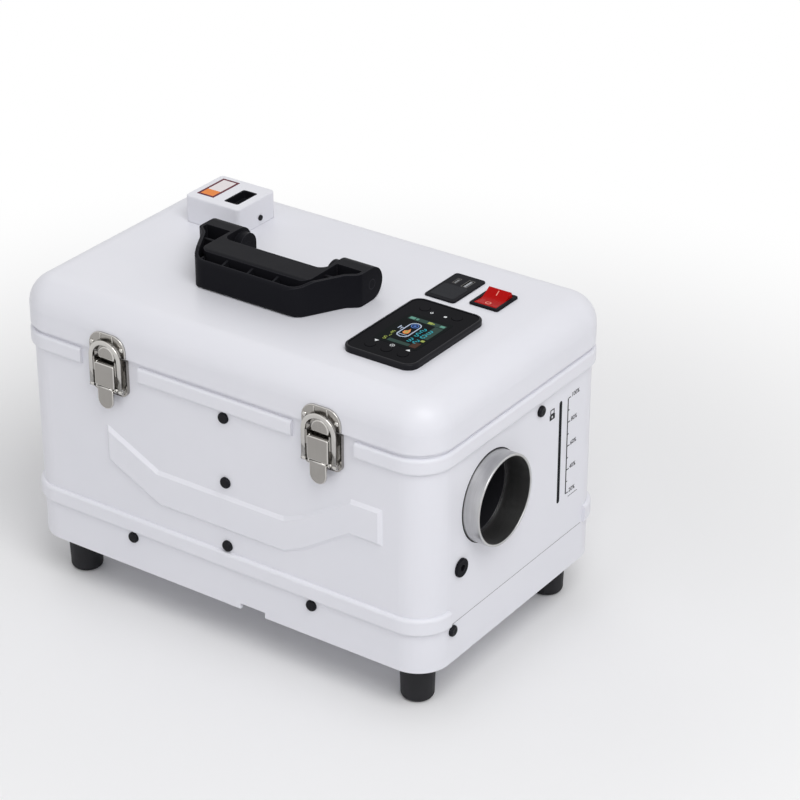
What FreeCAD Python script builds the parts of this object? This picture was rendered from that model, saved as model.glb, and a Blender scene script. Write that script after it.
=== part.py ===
"""Portable diesel air heater built into a toolbox-style carry case.

Millimetres, +Z up. The latches face -Y and the hot-air outlet faces +X.
The origin is the middle of the finished heater's outline, on the surface that it stands on.
"""

import FreeCAD
import Part
import math
import os

V = FreeCAD.Vector

# Clearances
SEAT = 0.1
PIVOT = 0.05
CLEAR = 0.4

# Case
CASE_LENGTH = 400.0
CASE_DEPTH = 250.0
CASE_CORNER = 28.0
CASE_WALL = 3.0
PAN_HEIGHT = 34.7
PAN_FLOOR = 3.0
PAN_FLOOR_RISE = 8.0
PAN_NOTCH_X = 31.0
PAN_NOTCH_WIDTH = 24.5
PAN_NOTCH_HEIGHT = 5.0
TUB_HEIGHT = 158.8
TONGUE_DEPTH = 15.0
TONGUE_LEDGE = 5.0
TONGUE_WALL = 3.0
BEAD_PROUD = 3.2
BEAD_ROUNDING = 2.8
LOWER_BEAD_HEIGHT = 15.0
LOWER_BEAD_END = 28.0
UPPER_BEAD_HEIGHT = 14.0
UPPER_BEAD_DROP = 3.5
UPPER_BEAD_GAP = 59.0

# Zigzag panel on the front, as offsets along the case and drops below the seam
PANEL_PROUD = 2.5
PANEL_SLOPE = 3.0
PANEL_LEFT = -112.0
PANEL_FLAT_LEFT = -60.0
PANEL_FLAT_RIGHT = 65.0
PANEL_RISE_RIGHT = 84.0
PANEL_STEP_RIGHT = 129.0
PANEL_RIGHT = 158.0
PANEL_HIGH_LEFT = 66.0
PANEL_HIGH_RIGHT = 55.0
PANEL_LOW = 92.0
PANEL_BAND = 32.0
PANEL_KNEE = 8.0

# Lid
LID_HEIGHT = 40.1
LID_WALL = 3.0
LID_OUTSET = 2.7
LID_CROWN = 23.6
LID_PARTING = 0.5
LID_LEDGE = 3.0
LID_LEDGE_REACH = 6.0
SEAL_HEIGHT = 2.5
SEAL_INSET = 0.4
SEAL_WIDTH = 2.5

# Feet
FOOT_HEIGHT = 40.0
FOOT_INSET = 30.0
FOOT_TOP_RADIUS = 15.0
FOOT_BASE_RADIUS = 13.4
FOOT_ROUNDING = 4.5
FOOT_WELL_RADIUS = 6.2
FOOT_WELL_DEPTH = 22.0
FOOT_SCREW_HEAD_RADIUS = 5.5
FOOT_SCREW_HEAD = 4.0
FOOT_SCREW_RADIUS = 2.5
FOOT_NUT_RADIUS = 5.0
FOOT_NUT = 5.0

# Case screws
SCREW_HEAD_RADIUS = 4.75
SCREW_HEAD = 2.8
SCREW_ROUNDING = 1.9
SCREW_RADIUS = 2.0
SCREW_LENGTH = 6.5
BRACE_SCREW_X = 8.0
BRACE_SCREWS = 3
SCREW_BEAD_GAP = 0.7
PAN_SCREW_SPACING = 180.0
PAN_SIDE_SCREW_Y = -92.0
TANK_SCREW_Y = 29.0
TANK_SCREW_DROP = 26.0
BRACE_WIDTH = 18.0
BRACE_SHEET = 2.5
BRACE_MARGIN = 12.0

# Hot-air outlet and what else opens on the end walls
OUTLET_Y = -42.0
OUTLET_DROP = 67.5
OUTLET_RADIUS = 37.5
OUTLET_SHEET = 2.0
OUTLET_PROUD = 14.5
OUTLET_DEPTH = 20.0
OUTLET_FLANGE = 7.0
OUTLET_STEP = 0.4
GAUGE_Y = 59.0
GAUGE_WIDTH = 4.0
GAUGE_HEIGHT = 93.0
GAUGE_TOP_DROP = 30.5
GAUGE_FLANGE = 4.0
INLET_Y = -81.5
INLET_DROP = 112.5
INLET_FLANGE_RADIUS = 7.75
INLET_FLANGE = 2.4
INLET_BODY_RADIUS = 5.5
INLET_BODY = 14.0
INLET_BORE_RADIUS = 3.0
INLET_PIN_RADIUS = 1.0
GRILLE_RADIUS = 47.0
GRILLE_PROUD = 3.0
GRILLE_HUB_RADIUS = 9.0
GRILLE_RING_WIDTH = 6.0
GRILLE_SLOT_RADIUS = 36.0
GRILLE_SPOKE = 4.0
GRILLE_SPOKES = 6
GRILLE_SPIGOT = 8.0
GRILLE_SPIGOT_WALL = 2.0

# Hinges at the back
HINGE_SPACING = 220.0
HINGE_WIDTH = 44.0
HINGE_SHEET = 2.0
HINGE_LEAF = 30.0
HINGE_STAND_OFF = 8.0
HINGE_KNUCKLE_RADIUS = 4.0
HINGE_PIN_RADIUS = 2.0
HINGE_MIDDLE = 16.0

# Toggle latches
LATCH_SPACING = 209.0
LATCH_WIDTH = 36.6
LATCH_SHEET = 1.5
LATCH_LIP = 3.0
LATCH_CORNER = 6.0
BASE_TOP_DROP = 1.5
BASE_BOTTOM_DROP = 34.0
EAR_HEIGHT = 12.0
EAR_OUT = 8.0
LEVER_PIVOT_DROP = 8.5
LEVER_PIVOT_OUT = 5.5
LEVER_PIN_RADIUS = 1.5
LEVER_WIDTH = 19.8
LEVER_HEAD = 1.5
LEVER_FRONT = 7.8
LEVER_SHEET = 1.4
LEVER_CHEEK_DEPTH = 4.2
LEVER_CHEEK_END = 32.0
TAB_WIDTH = 16.6
TAB_BOTTOM_DROP = 46.0
TAB_SLOT_DROP = 23.7
TAB_SLOT_WIDTH = 12.6
TAB_SLOT = 1.2
BAIL_PIVOT_DROP = 28.0
BAIL_PIVOT_OUT = 5.8
BAIL_PIN_RADIUS = 1.25
BAIL_EYE_RADIUS = 2.4
BAIL_WIDTH = 36.0
BAIL_LEG = 5.0
BAIL_SHEET = 1.8
BAIL_RISE = 13.5
BAIL_CROWN = 9.0
KEEPER_RISE = 20.0
KEEPER_GAP = 0.7
HOOK_WIDTH = 16.6
HOOK_DROP = 3.5
HOOK_RISE = 8.3
HOOK_OUT = 6.0
HOOK_ROUNDING = 1.3

# Carry handle, folded forward on the lid
HANDLE_X = -22.0
HANDLE_PIVOT_Y = 3.0
HANDLE_END_RADIUS = 14.0
HANDLE_REACH = 61.0
HANDLE_GRIP_BACK = 23.0
HANDLE_FRONT_WIDTH = 100.0
HANDLE_SHOULDER_WIDTH = 142.0
HANDLE_WIDTH = 160.0
HANDLE_ARM = 30.0
HANDLE_FRONT_HEIGHT = 24.0
HANDLE_CORNER = 7.0
HANDLE_FRONT_CORNER = 16.0
HANDLE_INNER_CORNER = 8.0
HANDLE_SKIN = 2.8
HANDLE_POCKET = 12.0
HANDLE_POCKET_FLOOR = 7.0
HANDLE_RIB = 1.8
HANDLE_CELLS = 4
HANDLE_RIB_DROP = 7.0
HANDLE_ARM_POCKET = 14.0
HANDLE_PIN_RADIUS = 4.0
LUG_WIDTH = 7.0
LUG_RADIUS = 11.0
LUG_BASE = 3.0
LUG_BASE_WIDTH = 18.0
LUG_BASE_DEPTH = 26.0

# Fuel filler under its hinged cover
FILLER_LEFT = 71.4
FILLER_BACK = 63.3
COVER_LENGTH = 56.2
COVER_DEPTH = 50.0
COVER_HEIGHT = 24.0
COVER_WALL = 2.5
COVER_CORNER = 4.0
COVER_SOFTENING = 1.5
COVER_GAP = 0.3
COVER_KNUCKLE_RADIUS = 2.6
COVER_KNUCKLE_LENGTH = 26.0
COVER_PIN_RADIUS = 1.2
COVER_PIVOT_RISE = 3.4
COVER_LUG = 6.0
PULL_LENGTH = 14.8
PULL_DEPTH = 27.6
PULL_RIGHT = 7.1
PULL_FRONT = 8.2
PULL_SINK = 8.0
PULL_WALL = 1.2
PULL_CORNER = 2.0
COVER_SCREW_RISE = 7.0
COVER_SCREW_BACK = 21.5
COVER_SCREW_HEAD_RADIUS = 2.4
COVER_SCREW_HEAD = 1.2
COVER_SCREW_RADIUS = 1.2
WELL_RADIUS = 21.0
NECK_RADIUS = 16.0
NECK_WALL = 3.0
CAP_RADIUS = 18.5
CAP_TOP_DROP = 5.6
CAP_SKIRT = 12.0
CAP_CROWN = 5.0
CAP_GRIPS = 16
CAP_GRIP_RADIUS = 1.4

# Controller on the lid
CONTROLLER_RIGHT = 46.9
CONTROLLER_FRONT = 45.0
CONTROLLER_LENGTH = 66.2
CONTROLLER_DEPTH = 102.5
CONTROLLER_CORNER = 10.0
CONTROLLER_PROUD = 5.0
CONTROLLER_SOFTENING = 1.6
CONTROLLER_RIM = 2.0
CONTROLLER_LEDGE = 0.8
CONTROLLER_STEM_INSET = 6.0
CONTROLLER_STEM_WALL = 2.0
CONTROLLER_STEM = 18.0
FACE_SHEET = 2.4
FACE_SINK = 0.6
FACE_UNDERCUT = 1.0
SCREEN_LENGTH = 40.0
SCREEN_DEPTH = 52.0
SCREEN_FRONT = 24.1
SCREEN_SHEET = 1.1
SCREEN_SINK = 1.0
SCREEN_CORNER = 2.0
KEY_RADIUS = 4.2
KEY_GAP = 0.3
KEY_PROUD = 0.3
KEY_FLANGE_RADIUS = 4.8
KEY_FLANGE = 0.9
KEY_PITCH = 15.0
FRONT_KEYS_INSET = 14.5
BACK_KEYS_INSET = 14.5

# Charging sockets on the lid
USB_RIGHT = 86.0
USB_FRONT = 159.5
USB_LENGTH = 28.9
USB_DEPTH = 47.0
USB_SHEET = 1.4
USB_CORNER = 3.0
USB_BODY_INSET = 3.5
USB_BODY = 15.0
USB_SOCKET_BACK = 13.0
USB_SOCKET_PITCH = 10.5
USB_SOCKET_DEPTH = 12.0
USB_SHELL = 0.6
USB_WIDE = 5.7
USB_WIDE_LENGTH = 13.2
USB_NARROW = 3.6
USB_NARROW_LENGTH = 9.2
TONGUE_RISE = 9.0
TONGUE_WIDE = 1.9
TONGUE_WIDE_LENGTH = 10.6
TONGUE_NARROW = 0.8
TONGUE_NARROW_LENGTH = 6.6

# Rocker switch on the lid
SWITCH_RIGHT = 50.0
SWITCH_FRONT = 166.6
SWITCH_LENGTH = 27.0
SWITCH_DEPTH = 31.0
SWITCH_SHEET = 2.0
SWITCH_CORNER = 2.0
SWITCH_WALL = 1.6
SWITCH_BODY = 22.0
ROCKER_WIDTH = 20.6
ROCKER_HALF = 11.5
ROCKER_CREST = 5.5
ROCKER_VALLEY = 1.8
ROCKER_KEEL = 8.0
ROCKER_KEEL_HALF = 6.5
ROCKER_SWING = 13.0
ROCKER_PIVOT_SINK = 1.0
ROCKER_PIN_RADIUS = 1.5
ROCKER_PIN_REACH = 1.2

# Air heater
HEATER_SETBACK = 60.0
HEATER_LENGTH = 290.0
HEATER_WIDTH = 116.0
HEATER_HEIGHT = 122.0
HEATER_CORNER = 34.0
HEATER_SHELL = 2.0
NOZZLE_RADIUS = 52.0
NOZZLE_LENGTH = 25.0
SPIGOT_SETBACK = 8.0
BREATHER_RADIUS = 52.0
EXCHANGER_SETBACK = 10.0
EXCHANGER_LENGTH = 150.0
EXCHANGER_RADIUS = 36.0
EXCHANGER_DOME = 12.0
FIN_COUNT = 16
FIN_HEIGHT = 14.0
FIN_SHEET = 2.5
FIN_SETBACK = 14.0
FOOT_BLOCK_LENGTH = 84.0
FOOT_BLOCK_WIDTH = 44.0
FOOT_BLOCK_CORNER = 6.0
GASKET_SHEET = 3.0
GASKET_MARGIN = 6.0
PIPE_PITCH = 46.0
EXHAUST_RADIUS = 12.0
AIR_PIPE_RADIUS = 12.5
PIPE_WALL = 1.5
PIPE_TAIL = 15.0
PIPE_STEP = 0.3
PIPE_SHOULDER = 4.0
FUEL_STUB_RADIUS = 3.0
FUEL_STUB = 10.5
BLOWER_LENGTH = 34.0
BLOWER_RADIUS = 46.0
BLOWER_WALL = 3.0
MOTOR_LENGTH = 60.0
MOTOR_RADIUS = 24.0
SHAFT_RADIUS = 4.0
SHAFT_HOLE_GAP = 0.5
FAN_RADIUS = 49.0
FAN_HUB_RADIUS = 20.0
FAN_LENGTH = 22.0
FAN_STAND_OFF = 5.0
FAN_BLADES = 7
FAN_SHEET = 2.0
FAN_TWIST = 32.0
FAN_MIDDLE_TWIST = 41.6
FAN_TIP_TWIST = 51.2
IMPELLER_RADIUS = 40.0
IMPELLER_DISC = 3.0
IMPELLER_VANE = 14.0
IMPELLER_VANES = 9
IMPELLER_SHEET = 2.0
UNIT_LENGTH = 54.0
UNIT_WIDTH = 60.0
UNIT_HEIGHT = 26.0
UNIT_SINK = 5.0
PLUG_RADIUS = 4.0
PLUG_LENGTH = 16.0
PLUG_SEAT = 3.0
PLUG_X = 15.0

# Stand and fuel system
STAND_SHEET = 2.5
STAND_WIDTH = 64.0
STAND_LEFT = 95.0
STAND_RIGHT = 22.0
STAND_FOOT = 16.0
TANK_END_GAP = 1.0
TANK_DEPTH = 92.0
TANK_TOP_DROP = 11.5
TANK_WALL = 3.0
TANK_RISE = 6.0
TANK_FOOT = 20.0
BRACKET_WIDTH = 20.0
BRACKET_REACH = 24.0
BRACKET_DROP = 24.0
BRACKET_SHEET = 2.5
PUMP_RADIUS = 14.0
PUMP_LENGTH = 84.0
PUMP_RISE = 19.0
PUMP_FRONT = 30.0
PUMP_LEFT = -70.0
CLAMP_SHEET = 2.0
CLAMP_WIDTH = 18.0
FILTER_RADIUS = 13.0
FILTER_LENGTH = 40.0
FILTER_LEFT = 42.0
FILTER_GAP = 22.0
NIPPLE_RADIUS = 3.0
NIPPLE = 8.0
HOSE_RADIUS = 5.0
HOSE_BEND = 24.0

# Levels and half sizes that follow from the sizes above
HALF_LENGTH = CASE_LENGTH / 2
HALF_DEPTH = CASE_DEPTH / 2
PAN_BOTTOM = FOOT_HEIGHT
FLOOR_UNDER = PAN_BOTTOM + PAN_FLOOR_RISE
FLOOR_TOP = FLOOR_UNDER + PAN_FLOOR
PAN_TOP = PAN_BOTTOM + PAN_HEIGHT
SEAM = PAN_TOP + TUB_HEIGHT
LID_TOP = SEAM + LID_HEIGHT
LID_UNDER = LID_TOP - LID_WALL
SEAL_TOP = SEAM + SEAL_HEIGHT
LINING = CASE_WALL + SEAT + TONGUE_WALL
OUTLET_Z = SEAM - OUTLET_DROP
OUTLET_BORE = OUTLET_RADIUS - OUTLET_SHEET
LATCH_CENTRES = (-LATCH_SPACING / 2, LATCH_SPACING / 2)
HINGE_CENTRES = (-HINGE_SPACING / 2, HINGE_SPACING / 2)
HINGE_Y = HALF_DEPTH + HINGE_STAND_OFF
HANDLE_PIVOT_Z = LID_TOP + CLEAR + HANDLE_END_RADIUS
FILLER_X = FILLER_LEFT - HALF_LENGTH
FILLER_Y = HALF_DEPTH - FILLER_BACK
COVER_PIVOT_Y = FILLER_Y + COVER_DEPTH / 2 + COVER_KNUCKLE_RADIUS
COVER_PIVOT_Z = LID_TOP + COVER_PIVOT_RISE
NECK_TOP = LID_TOP - CAP_TOP_DROP - CAP_CROWN - CLEAR
FACE_TOP = LID_TOP + CONTROLLER_PROUD - FACE_SINK
FACE_UNDER = FACE_TOP - FACE_SHEET
USB_SOCKET_Y = USB_FRONT + USB_DEPTH - HALF_DEPTH - USB_SOCKET_BACK
ROCKER_X = HALF_LENGTH - SWITCH_RIGHT - SWITCH_LENGTH / 2
ROCKER_Y = SWITCH_FRONT - HALF_DEPTH + SWITCH_DEPTH / 2
ROCKER_Z = LID_TOP - ROCKER_PIVOT_SINK
ROCKER_SPAN = math.hypot(ROCKER_HALF, ROCKER_CREST) + CLEAR
HEATER_X1 = HALF_LENGTH - HEATER_SETBACK
HEATER_X0 = HEATER_X1 - HEATER_LENGTH
HEATER_BASE = OUTLET_Z - HEATER_HEIGHT / 2
SPIGOT_RADIUS = OUTLET_BORE - CLEAR
EXCHANGER_X1 = HEATER_X1 - EXCHANGER_SETBACK
EXCHANGER_X0 = EXCHANGER_X1 - EXCHANGER_LENGTH
EXCHANGER_MIDDLE = (EXCHANGER_X0 + EXCHANGER_X1) / 2
PLUG_BASE = OUTLET_Z + EXCHANGER_RADIUS - PLUG_SEAT
BLOWER_X0 = EXCHANGER_X0 - BLOWER_LENGTH
IMPELLER_X0 = BLOWER_X0 + BLOWER_WALL + FAN_STAND_OFF
MOTOR_X0 = BLOWER_X0 - MOTOR_LENGTH
FAN_X1 = MOTOR_X0 - FAN_STAND_OFF
FAN_X0 = FAN_X1 - FAN_LENGTH
TANK_TOP = SEAM - TANK_TOP_DROP
TANK_CORNER = CASE_CORNER - LINING - TANK_END_GAP
TANK_Y1 = HALF_DEPTH - LINING - TANK_END_GAP
TANK_Y0 = TANK_Y1 - TANK_DEPTH
PUMP_RIGHT = PUMP_LEFT + PUMP_LENGTH
PUMP_Y = PUMP_FRONT - HALF_DEPTH
PUMP_Z = FLOOR_TOP + PUMP_RISE
FILTER_X = FILTER_LEFT - HALF_LENGTH
FILTER_Y0 = TANK_Y0 - FILTER_GAP - FILTER_LENGTH
ORIGIN_X = (OUTLET_PROUD - BEAD_PROUD) / 2
ORIGIN_Y = (HINGE_STAND_OFF + HINGE_KNUCKLE_RADIUS - LEVER_FRONT - LEVER_SHEET) / 2
FACES = {
    "front": (0, HALF_DEPTH),
    "right": (90, HALF_LENGTH),
    "back": (180, HALF_DEPTH),
    "left": (270, HALF_LENGTH),
}

ORIGIN = V(0, 0, 0)
X_AXIS = V(1, 0, 0)
Y_AXIS = V(0, 1, 0)
Z_AXIS = V(0, 0, 1)
NEAR = 1e-4
PAST = 1.0


def outline(corners, z=0.0):
    """Closed level wire through corners (x, y, radius), each rounded by its own radius."""
    points = [V(x, y, z) for x, y, radius in corners]
    bends = []
    for i, here in enumerate(points):
        radius = corners[i][2]
        if radius == 0:
            bends.append((here, here, here))
            continue
        before = (points[i - 1] - here).normalize()
        after = (points[(i + 1) % len(points)] - here).normalize()
        half = before.getAngle(after) / 2
        run = radius / math.tan(half)
        lift = radius / math.sin(half) - radius
        middle = here + (before + after).normalize() * lift
        bends.append((here + before * run, middle, here + after * run))
    edges = []
    for i, (start, middle, end) in enumerate(bends):
        following = bends[(i + 1) % len(bends)][0]
        if start.distanceToPoint(end) > NEAR:
            edges.append(Part.Arc(start, middle, end).toShape())
        if end.distanceToPoint(following) > NEAR:
            edges.append(Part.LineSegment(end, following).toShape())
    return Part.Wire(edges)


def rectangle(x0, x1, y0, y1, radius=0.0):
    """Corners of a rectangle, all rounded alike."""
    return [(x0, y0, radius), (x1, y0, radius), (x1, y1, radius), (x0, y1, radius)]


def slab(corners, z0, z1):
    """Upright prism on a level outline."""
    return Part.Face(outline(corners, z0)).extrude(V(0, 0, z1 - z0))


def block(x0, x1, y0, y1, z0, z1):
    """Plain box between two corners."""
    return Part.makeBox(x1 - x0, y1 - y0, z1 - z0, V(x0, y0, z0))


def post(radius, x, y, z0, z1):
    """Upright cylinder."""
    return Part.makeCylinder(radius, z1 - z0, V(x, y, z0))


def rod(radius, x0, x1, y, z):
    """Cylinder lying along the length of the case."""
    return Part.makeCylinder(radius, x1 - x0, V(x0, y, z), X_AXIS)


def case_corners(offset):
    """Outline of the case walls, moved outward by an offset."""
    reach_x = HALF_LENGTH + offset
    reach_y = HALF_DEPTH + offset
    return rectangle(-reach_x, reach_x, -reach_y, reach_y, CASE_CORNER + offset)


def wall_ring(outer, inner, z0, z1):
    """Ring that follows the case walls between two offsets."""
    return slab(case_corners(outer), z0, z1).cut(slab(case_corners(inner), z0, z1))


def against(shape, face):
    """Stand a shape drawn level, with its Z pointing outward, on one outer wall of the case."""
    angle, reach = FACES[face]
    turned = shape.copy()
    turned.translate(V(0, 0, reach))
    turned.rotate(ORIGIN, X_AXIS, 90)
    turned.rotate(ORIGIN, Z_AXIS, angle)
    return turned


def moved(shape, x=0.0, y=0.0, z=0.0):
    """Copy of a shape, moved."""
    copy = shape.copy()
    copy.translate(V(x, y, z))
    return copy


def edges_at(shape, z):
    """Edges that lie level at one height."""
    return [e for e in shape.Edges if abs(e.BoundBox.ZMin - z) < NEAR and abs(e.BoundBox.ZMax - z) < NEAR]


def joined(shapes):
    """One solid from several that touch."""
    return shapes[0].fuse(shapes[1:]).removeSplitter()


def brace_screw_heights():
    """Heights of the front screws, evenly spaced between the lower and the upper bead."""
    low = PAN_TOP + LOWER_BEAD_HEIGHT + SCREW_BEAD_GAP + SCREW_HEAD_RADIUS
    high = SEAM - UPPER_BEAD_DROP - UPPER_BEAD_HEIGHT - SCREW_BEAD_GAP - SCREW_HEAD_RADIUS
    step = (high - low) / (BRACE_SCREWS - 1)
    return [low + i * step for i in range(BRACE_SCREWS)]


def screw_places():
    """Wall, place along it and height of every case screw."""
    pan_z = PAN_TOP - SCREW_BEAD_GAP - SCREW_HEAD_RADIUS
    tank_z = SEAM - TANK_SCREW_DROP
    places = [("front", BRACE_SCREW_X, z) for z in brace_screw_heights()]
    for face in ("front", "back"):
        places.append((face, -PAN_SCREW_SPACING / 2, pan_z))
        places.append((face, PAN_SCREW_SPACING / 2, pan_z))
    places.append(("right", PAN_SIDE_SCREW_Y, pan_z))
    places.append(("left", -PAN_SIDE_SCREW_Y, pan_z))
    places.append(("right", TANK_SCREW_Y, tank_z))
    places.append(("left", -TANK_SCREW_Y, tank_z))
    return places


def screw_holes():
    """Clearance holes for every case screw."""
    hole = post(SCREW_RADIUS + SEAT, 0, 0, -SCREW_LENGTH, PAST)
    return [against(moved(hole, u, z), face) for face, u, z in screw_places()]


def case_screws():
    """Black button-head screws in the case walls."""
    head = post(SCREW_HEAD_RADIUS, 0, 0, 0, SCREW_HEAD)
    head = head.makeFillet(SCREW_ROUNDING, edges_at(head, SCREW_HEAD))
    screw = joined([head, post(SCREW_RADIUS, 0, 0, -SCREW_LENGTH, 0)])
    return Part.makeCompound([against(moved(screw, u, z), face) for face, u, z in screw_places()])


def foot_centres():
    """Centres of the four feet."""
    reach_x = HALF_LENGTH - FOOT_INSET
    reach_y = HALF_DEPTH - FOOT_INSET
    return [(x, y) for x in (-reach_x, reach_x) for y in (-reach_y, reach_y)]


def rubber_feet():
    """Tapered feet with a well for the screw head."""
    foot = Part.makeCone(FOOT_BASE_RADIUS, FOOT_TOP_RADIUS, FLOOR_UNDER)
    foot = foot.makeFillet(FOOT_ROUNDING, edges_at(foot, 0))
    foot = foot.cut(post(FOOT_WELL_RADIUS, 0, 0, 0, FOOT_WELL_DEPTH))
    foot = foot.cut(post(FOOT_SCREW_RADIUS + SEAT, 0, 0, 0, FLOOR_UNDER))
    return Part.makeCompound([moved(foot, x, y) for x, y in foot_centres()])


def foot_screws():
    """Screws and nuts that hold the feet to the pan floor."""
    head_z = FOOT_WELL_DEPTH - FOOT_SCREW_HEAD
    screw = joined([
        post(FOOT_SCREW_HEAD_RADIUS, 0, 0, head_z, FOOT_WELL_DEPTH),
        post(FOOT_SCREW_RADIUS, 0, 0, FOOT_WELL_DEPTH, FLOOR_TOP + FOOT_NUT),
        Part.Face(Part.makePolygon(
            [V(FOOT_NUT_RADIUS, 0, FLOOR_TOP)]
            + [V(FOOT_NUT_RADIUS * math.cos(a), FOOT_NUT_RADIUS * math.sin(a), FLOOR_TOP)
               for a in [math.radians(60 * i) for i in range(1, 7)]]
        )).extrude(V(0, 0, FOOT_NUT)),
    ])
    return Part.makeCompound([moved(screw, x, y) for x, y in foot_centres()])


def pipe_places():
    """Radius and X of the exhaust pipe and the combustion-air pipe."""
    middle = EXCHANGER_X1 - EXCHANGER_LENGTH / 2
    return ((EXHAUST_RADIUS, middle + PIPE_PITCH / 2), (AIR_PIPE_RADIUS, middle - PIPE_PITCH / 2))


def bottom_pan():
    """Tray under the tub, with its floor raised above the skirt edge."""
    pan = slab(case_corners(0), PAN_BOTTOM, PAN_TOP)
    pan = pan.cut(slab(case_corners(-CASE_WALL), FLOOR_TOP, PAN_TOP))
    pan = pan.cut(slab(case_corners(-CASE_WALL), PAN_BOTTOM, FLOOR_UNDER))
    notch_x0 = PAN_NOTCH_X - PAN_NOTCH_WIDTH / 2
    notch_x1 = PAN_NOTCH_X + PAN_NOTCH_WIDTH / 2
    cuts = [block(notch_x0, notch_x1, -HALF_DEPTH - PAST, PAST - HALF_DEPTH + CASE_WALL,
                  PAN_BOTTOM, PAN_BOTTOM + PAN_NOTCH_HEIGHT)]
    cuts += [post(FOOT_SCREW_RADIUS + SEAT, x, y, FLOOR_UNDER, FLOOR_TOP) for x, y in foot_centres()]
    cuts += [post(radius + SEAT, x, OUTLET_Y, FLOOR_UNDER, FLOOR_TOP) for radius, x in pipe_places()]
    return pan.cut(cuts + screw_holes())


def bead(z0, z1, gaps):
    """Rounded bead round the tub, cut away at the gaps; solid so that it fuses with the wall."""
    body = slab(case_corners(BEAD_PROUD), z0, z1)
    body = body.makeFillet(BEAD_ROUNDING, edges_at(body, z0) + edges_at(body, z1))
    return body.cut(gaps)


def front_panel():
    """Raised zigzag band across the front, with sloping sides."""
    upper = [
        (PANEL_LEFT, PANEL_HIGH_LEFT),
        (PANEL_FLAT_LEFT, PANEL_LOW),
        (PANEL_FLAT_RIGHT, PANEL_LOW),
        (PANEL_RISE_RIGHT, PANEL_LOW - PANEL_KNEE),
        (PANEL_STEP_RIGHT, PANEL_HIGH_RIGHT),
        (PANEL_RIGHT, PANEL_HIGH_RIGHT),
    ]
    lower = [(x, drop + PANEL_BAND) for x, drop in reversed(upper)]
    base = outline([(x, SEAM - drop, 0) for x, drop in upper + lower])
    crest = Part.Face(base).makeOffset2D(-PANEL_SLOPE, join=2).OuterWire
    crest.translate(V(0, 0, PANEL_PROUD))
    return against(Part.makeLoft([base, crest], True, True), "front")


def side_cuts():
    """Openings in the end walls of the tub."""
    collar = post(OUTLET_RADIUS - OUTLET_STEP + SEAT, OUTLET_Y, OUTLET_Z, -CASE_WALL - PAST, PAST)
    inlet = post(INLET_BODY_RADIUS + SEAT, INLET_Y, SEAM - INLET_DROP, -CASE_WALL - PAST, PAST)
    grille = post(GRILLE_SLOT_RADIUS + GRILLE_SPIGOT_WALL + SEAT, -OUTLET_Y, OUTLET_Z,
                  -CASE_WALL - PAST, PAST)
    slot = slab(gauge_corners(SEAT), -CASE_WALL - PAST, PAST)
    return [against(collar, "right"), against(inlet, "right"), against(slot, "right"), against(grille,
                                                                                               "left")]


def gauge_corners(margin):
    """Outline of the fuel-level slot on the right wall, grown by a margin."""
    half = GAUGE_WIDTH / 2 + margin
    top = SEAM - GAUGE_TOP_DROP + margin
    bottom = SEAM - GAUGE_TOP_DROP - GAUGE_HEIGHT - margin
    return rectangle(GAUGE_Y - half, GAUGE_Y + half, bottom, top, half)


def case_tub():
    """Open walls of the case, with beads, the front panel and the tongue that enters the pan."""
    right_gap = block(HALF_LENGTH, HALF_LENGTH + 2 * BEAD_PROUD, LOWER_BEAD_END - HALF_DEPTH,
                      HALF_DEPTH - LOWER_BEAD_END, PAN_TOP, PAN_TOP + LOWER_BEAD_HEIGHT)
    bead_top = SEAM - UPPER_BEAD_DROP
    bead_base = bead_top - UPPER_BEAD_HEIGHT
    gaps = []
    for centres, side in ((LATCH_CENTRES, -1), (HINGE_CENTRES, 1)):
        near = side * HALF_DEPTH
        far = side * (HALF_DEPTH + 2 * BEAD_PROUD)
        for x in centres:
            gaps.append(block(x - UPPER_BEAD_GAP / 2, x + UPPER_BEAD_GAP / 2, min(near, far), max(near, far),
                              bead_base, bead_top))
    outer = joined([
        slab(case_corners(0), PAN_TOP, SEAM),
        bead(PAN_TOP, PAN_TOP + LOWER_BEAD_HEIGHT, [right_gap]),
        bead(bead_base, bead_top, gaps),
        front_panel(),
    ])
    walls = outer.cut(slab(case_corners(-CASE_WALL), PAN_TOP, SEAM))
    ledge = wall_ring(-CASE_WALL / 2, -LINING, PAN_TOP, PAN_TOP + TONGUE_LEDGE)
    tongue = wall_ring(-CASE_WALL - SEAT, -LINING, PAN_TOP - TONGUE_DEPTH, PAN_TOP)
    return joined([walls, ledge, tongue]).cut(side_cuts() + screw_holes())


def front_brace():
    """Steel strip behind the row of three screws in the front wall."""
    heights = brace_screw_heights()
    top = heights[-1] + BRACE_MARGIN
    bottom = heights[0] - BRACE_MARGIN
    corners = rectangle(BRACE_SCREW_X - BRACE_WIDTH / 2, BRACE_SCREW_X + BRACE_WIDTH / 2, bottom, top,
                        BRACE_SHEET)
    strip = slab(corners, -CASE_WALL - BRACE_SHEET, -CASE_WALL)
    return against(strip, "front").cut(screw_holes())


def outlet_collar():
    """Rolled aluminium duct collar with a flange behind the wall."""
    tube = post(OUTLET_RADIUS, 0, 0, 0, OUTLET_PROUD).fuse(
        post(OUTLET_RADIUS - OUTLET_STEP, 0, 0, -OUTLET_DEPTH, 0))
    flange = post(OUTLET_RADIUS + OUTLET_FLANGE, 0, 0, -CASE_WALL - OUTLET_SHEET, -CASE_WALL)
    collar = joined([tube, flange]).cut(post(OUTLET_BORE, 0, 0, -OUTLET_DEPTH, OUTLET_PROUD))
    lips = edges_at(collar, OUTLET_PROUD)
    collar = collar.makeFillet(OUTLET_SHEET / 3, lips)
    return against(moved(collar, OUTLET_Y, OUTLET_Z), "right")


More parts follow.
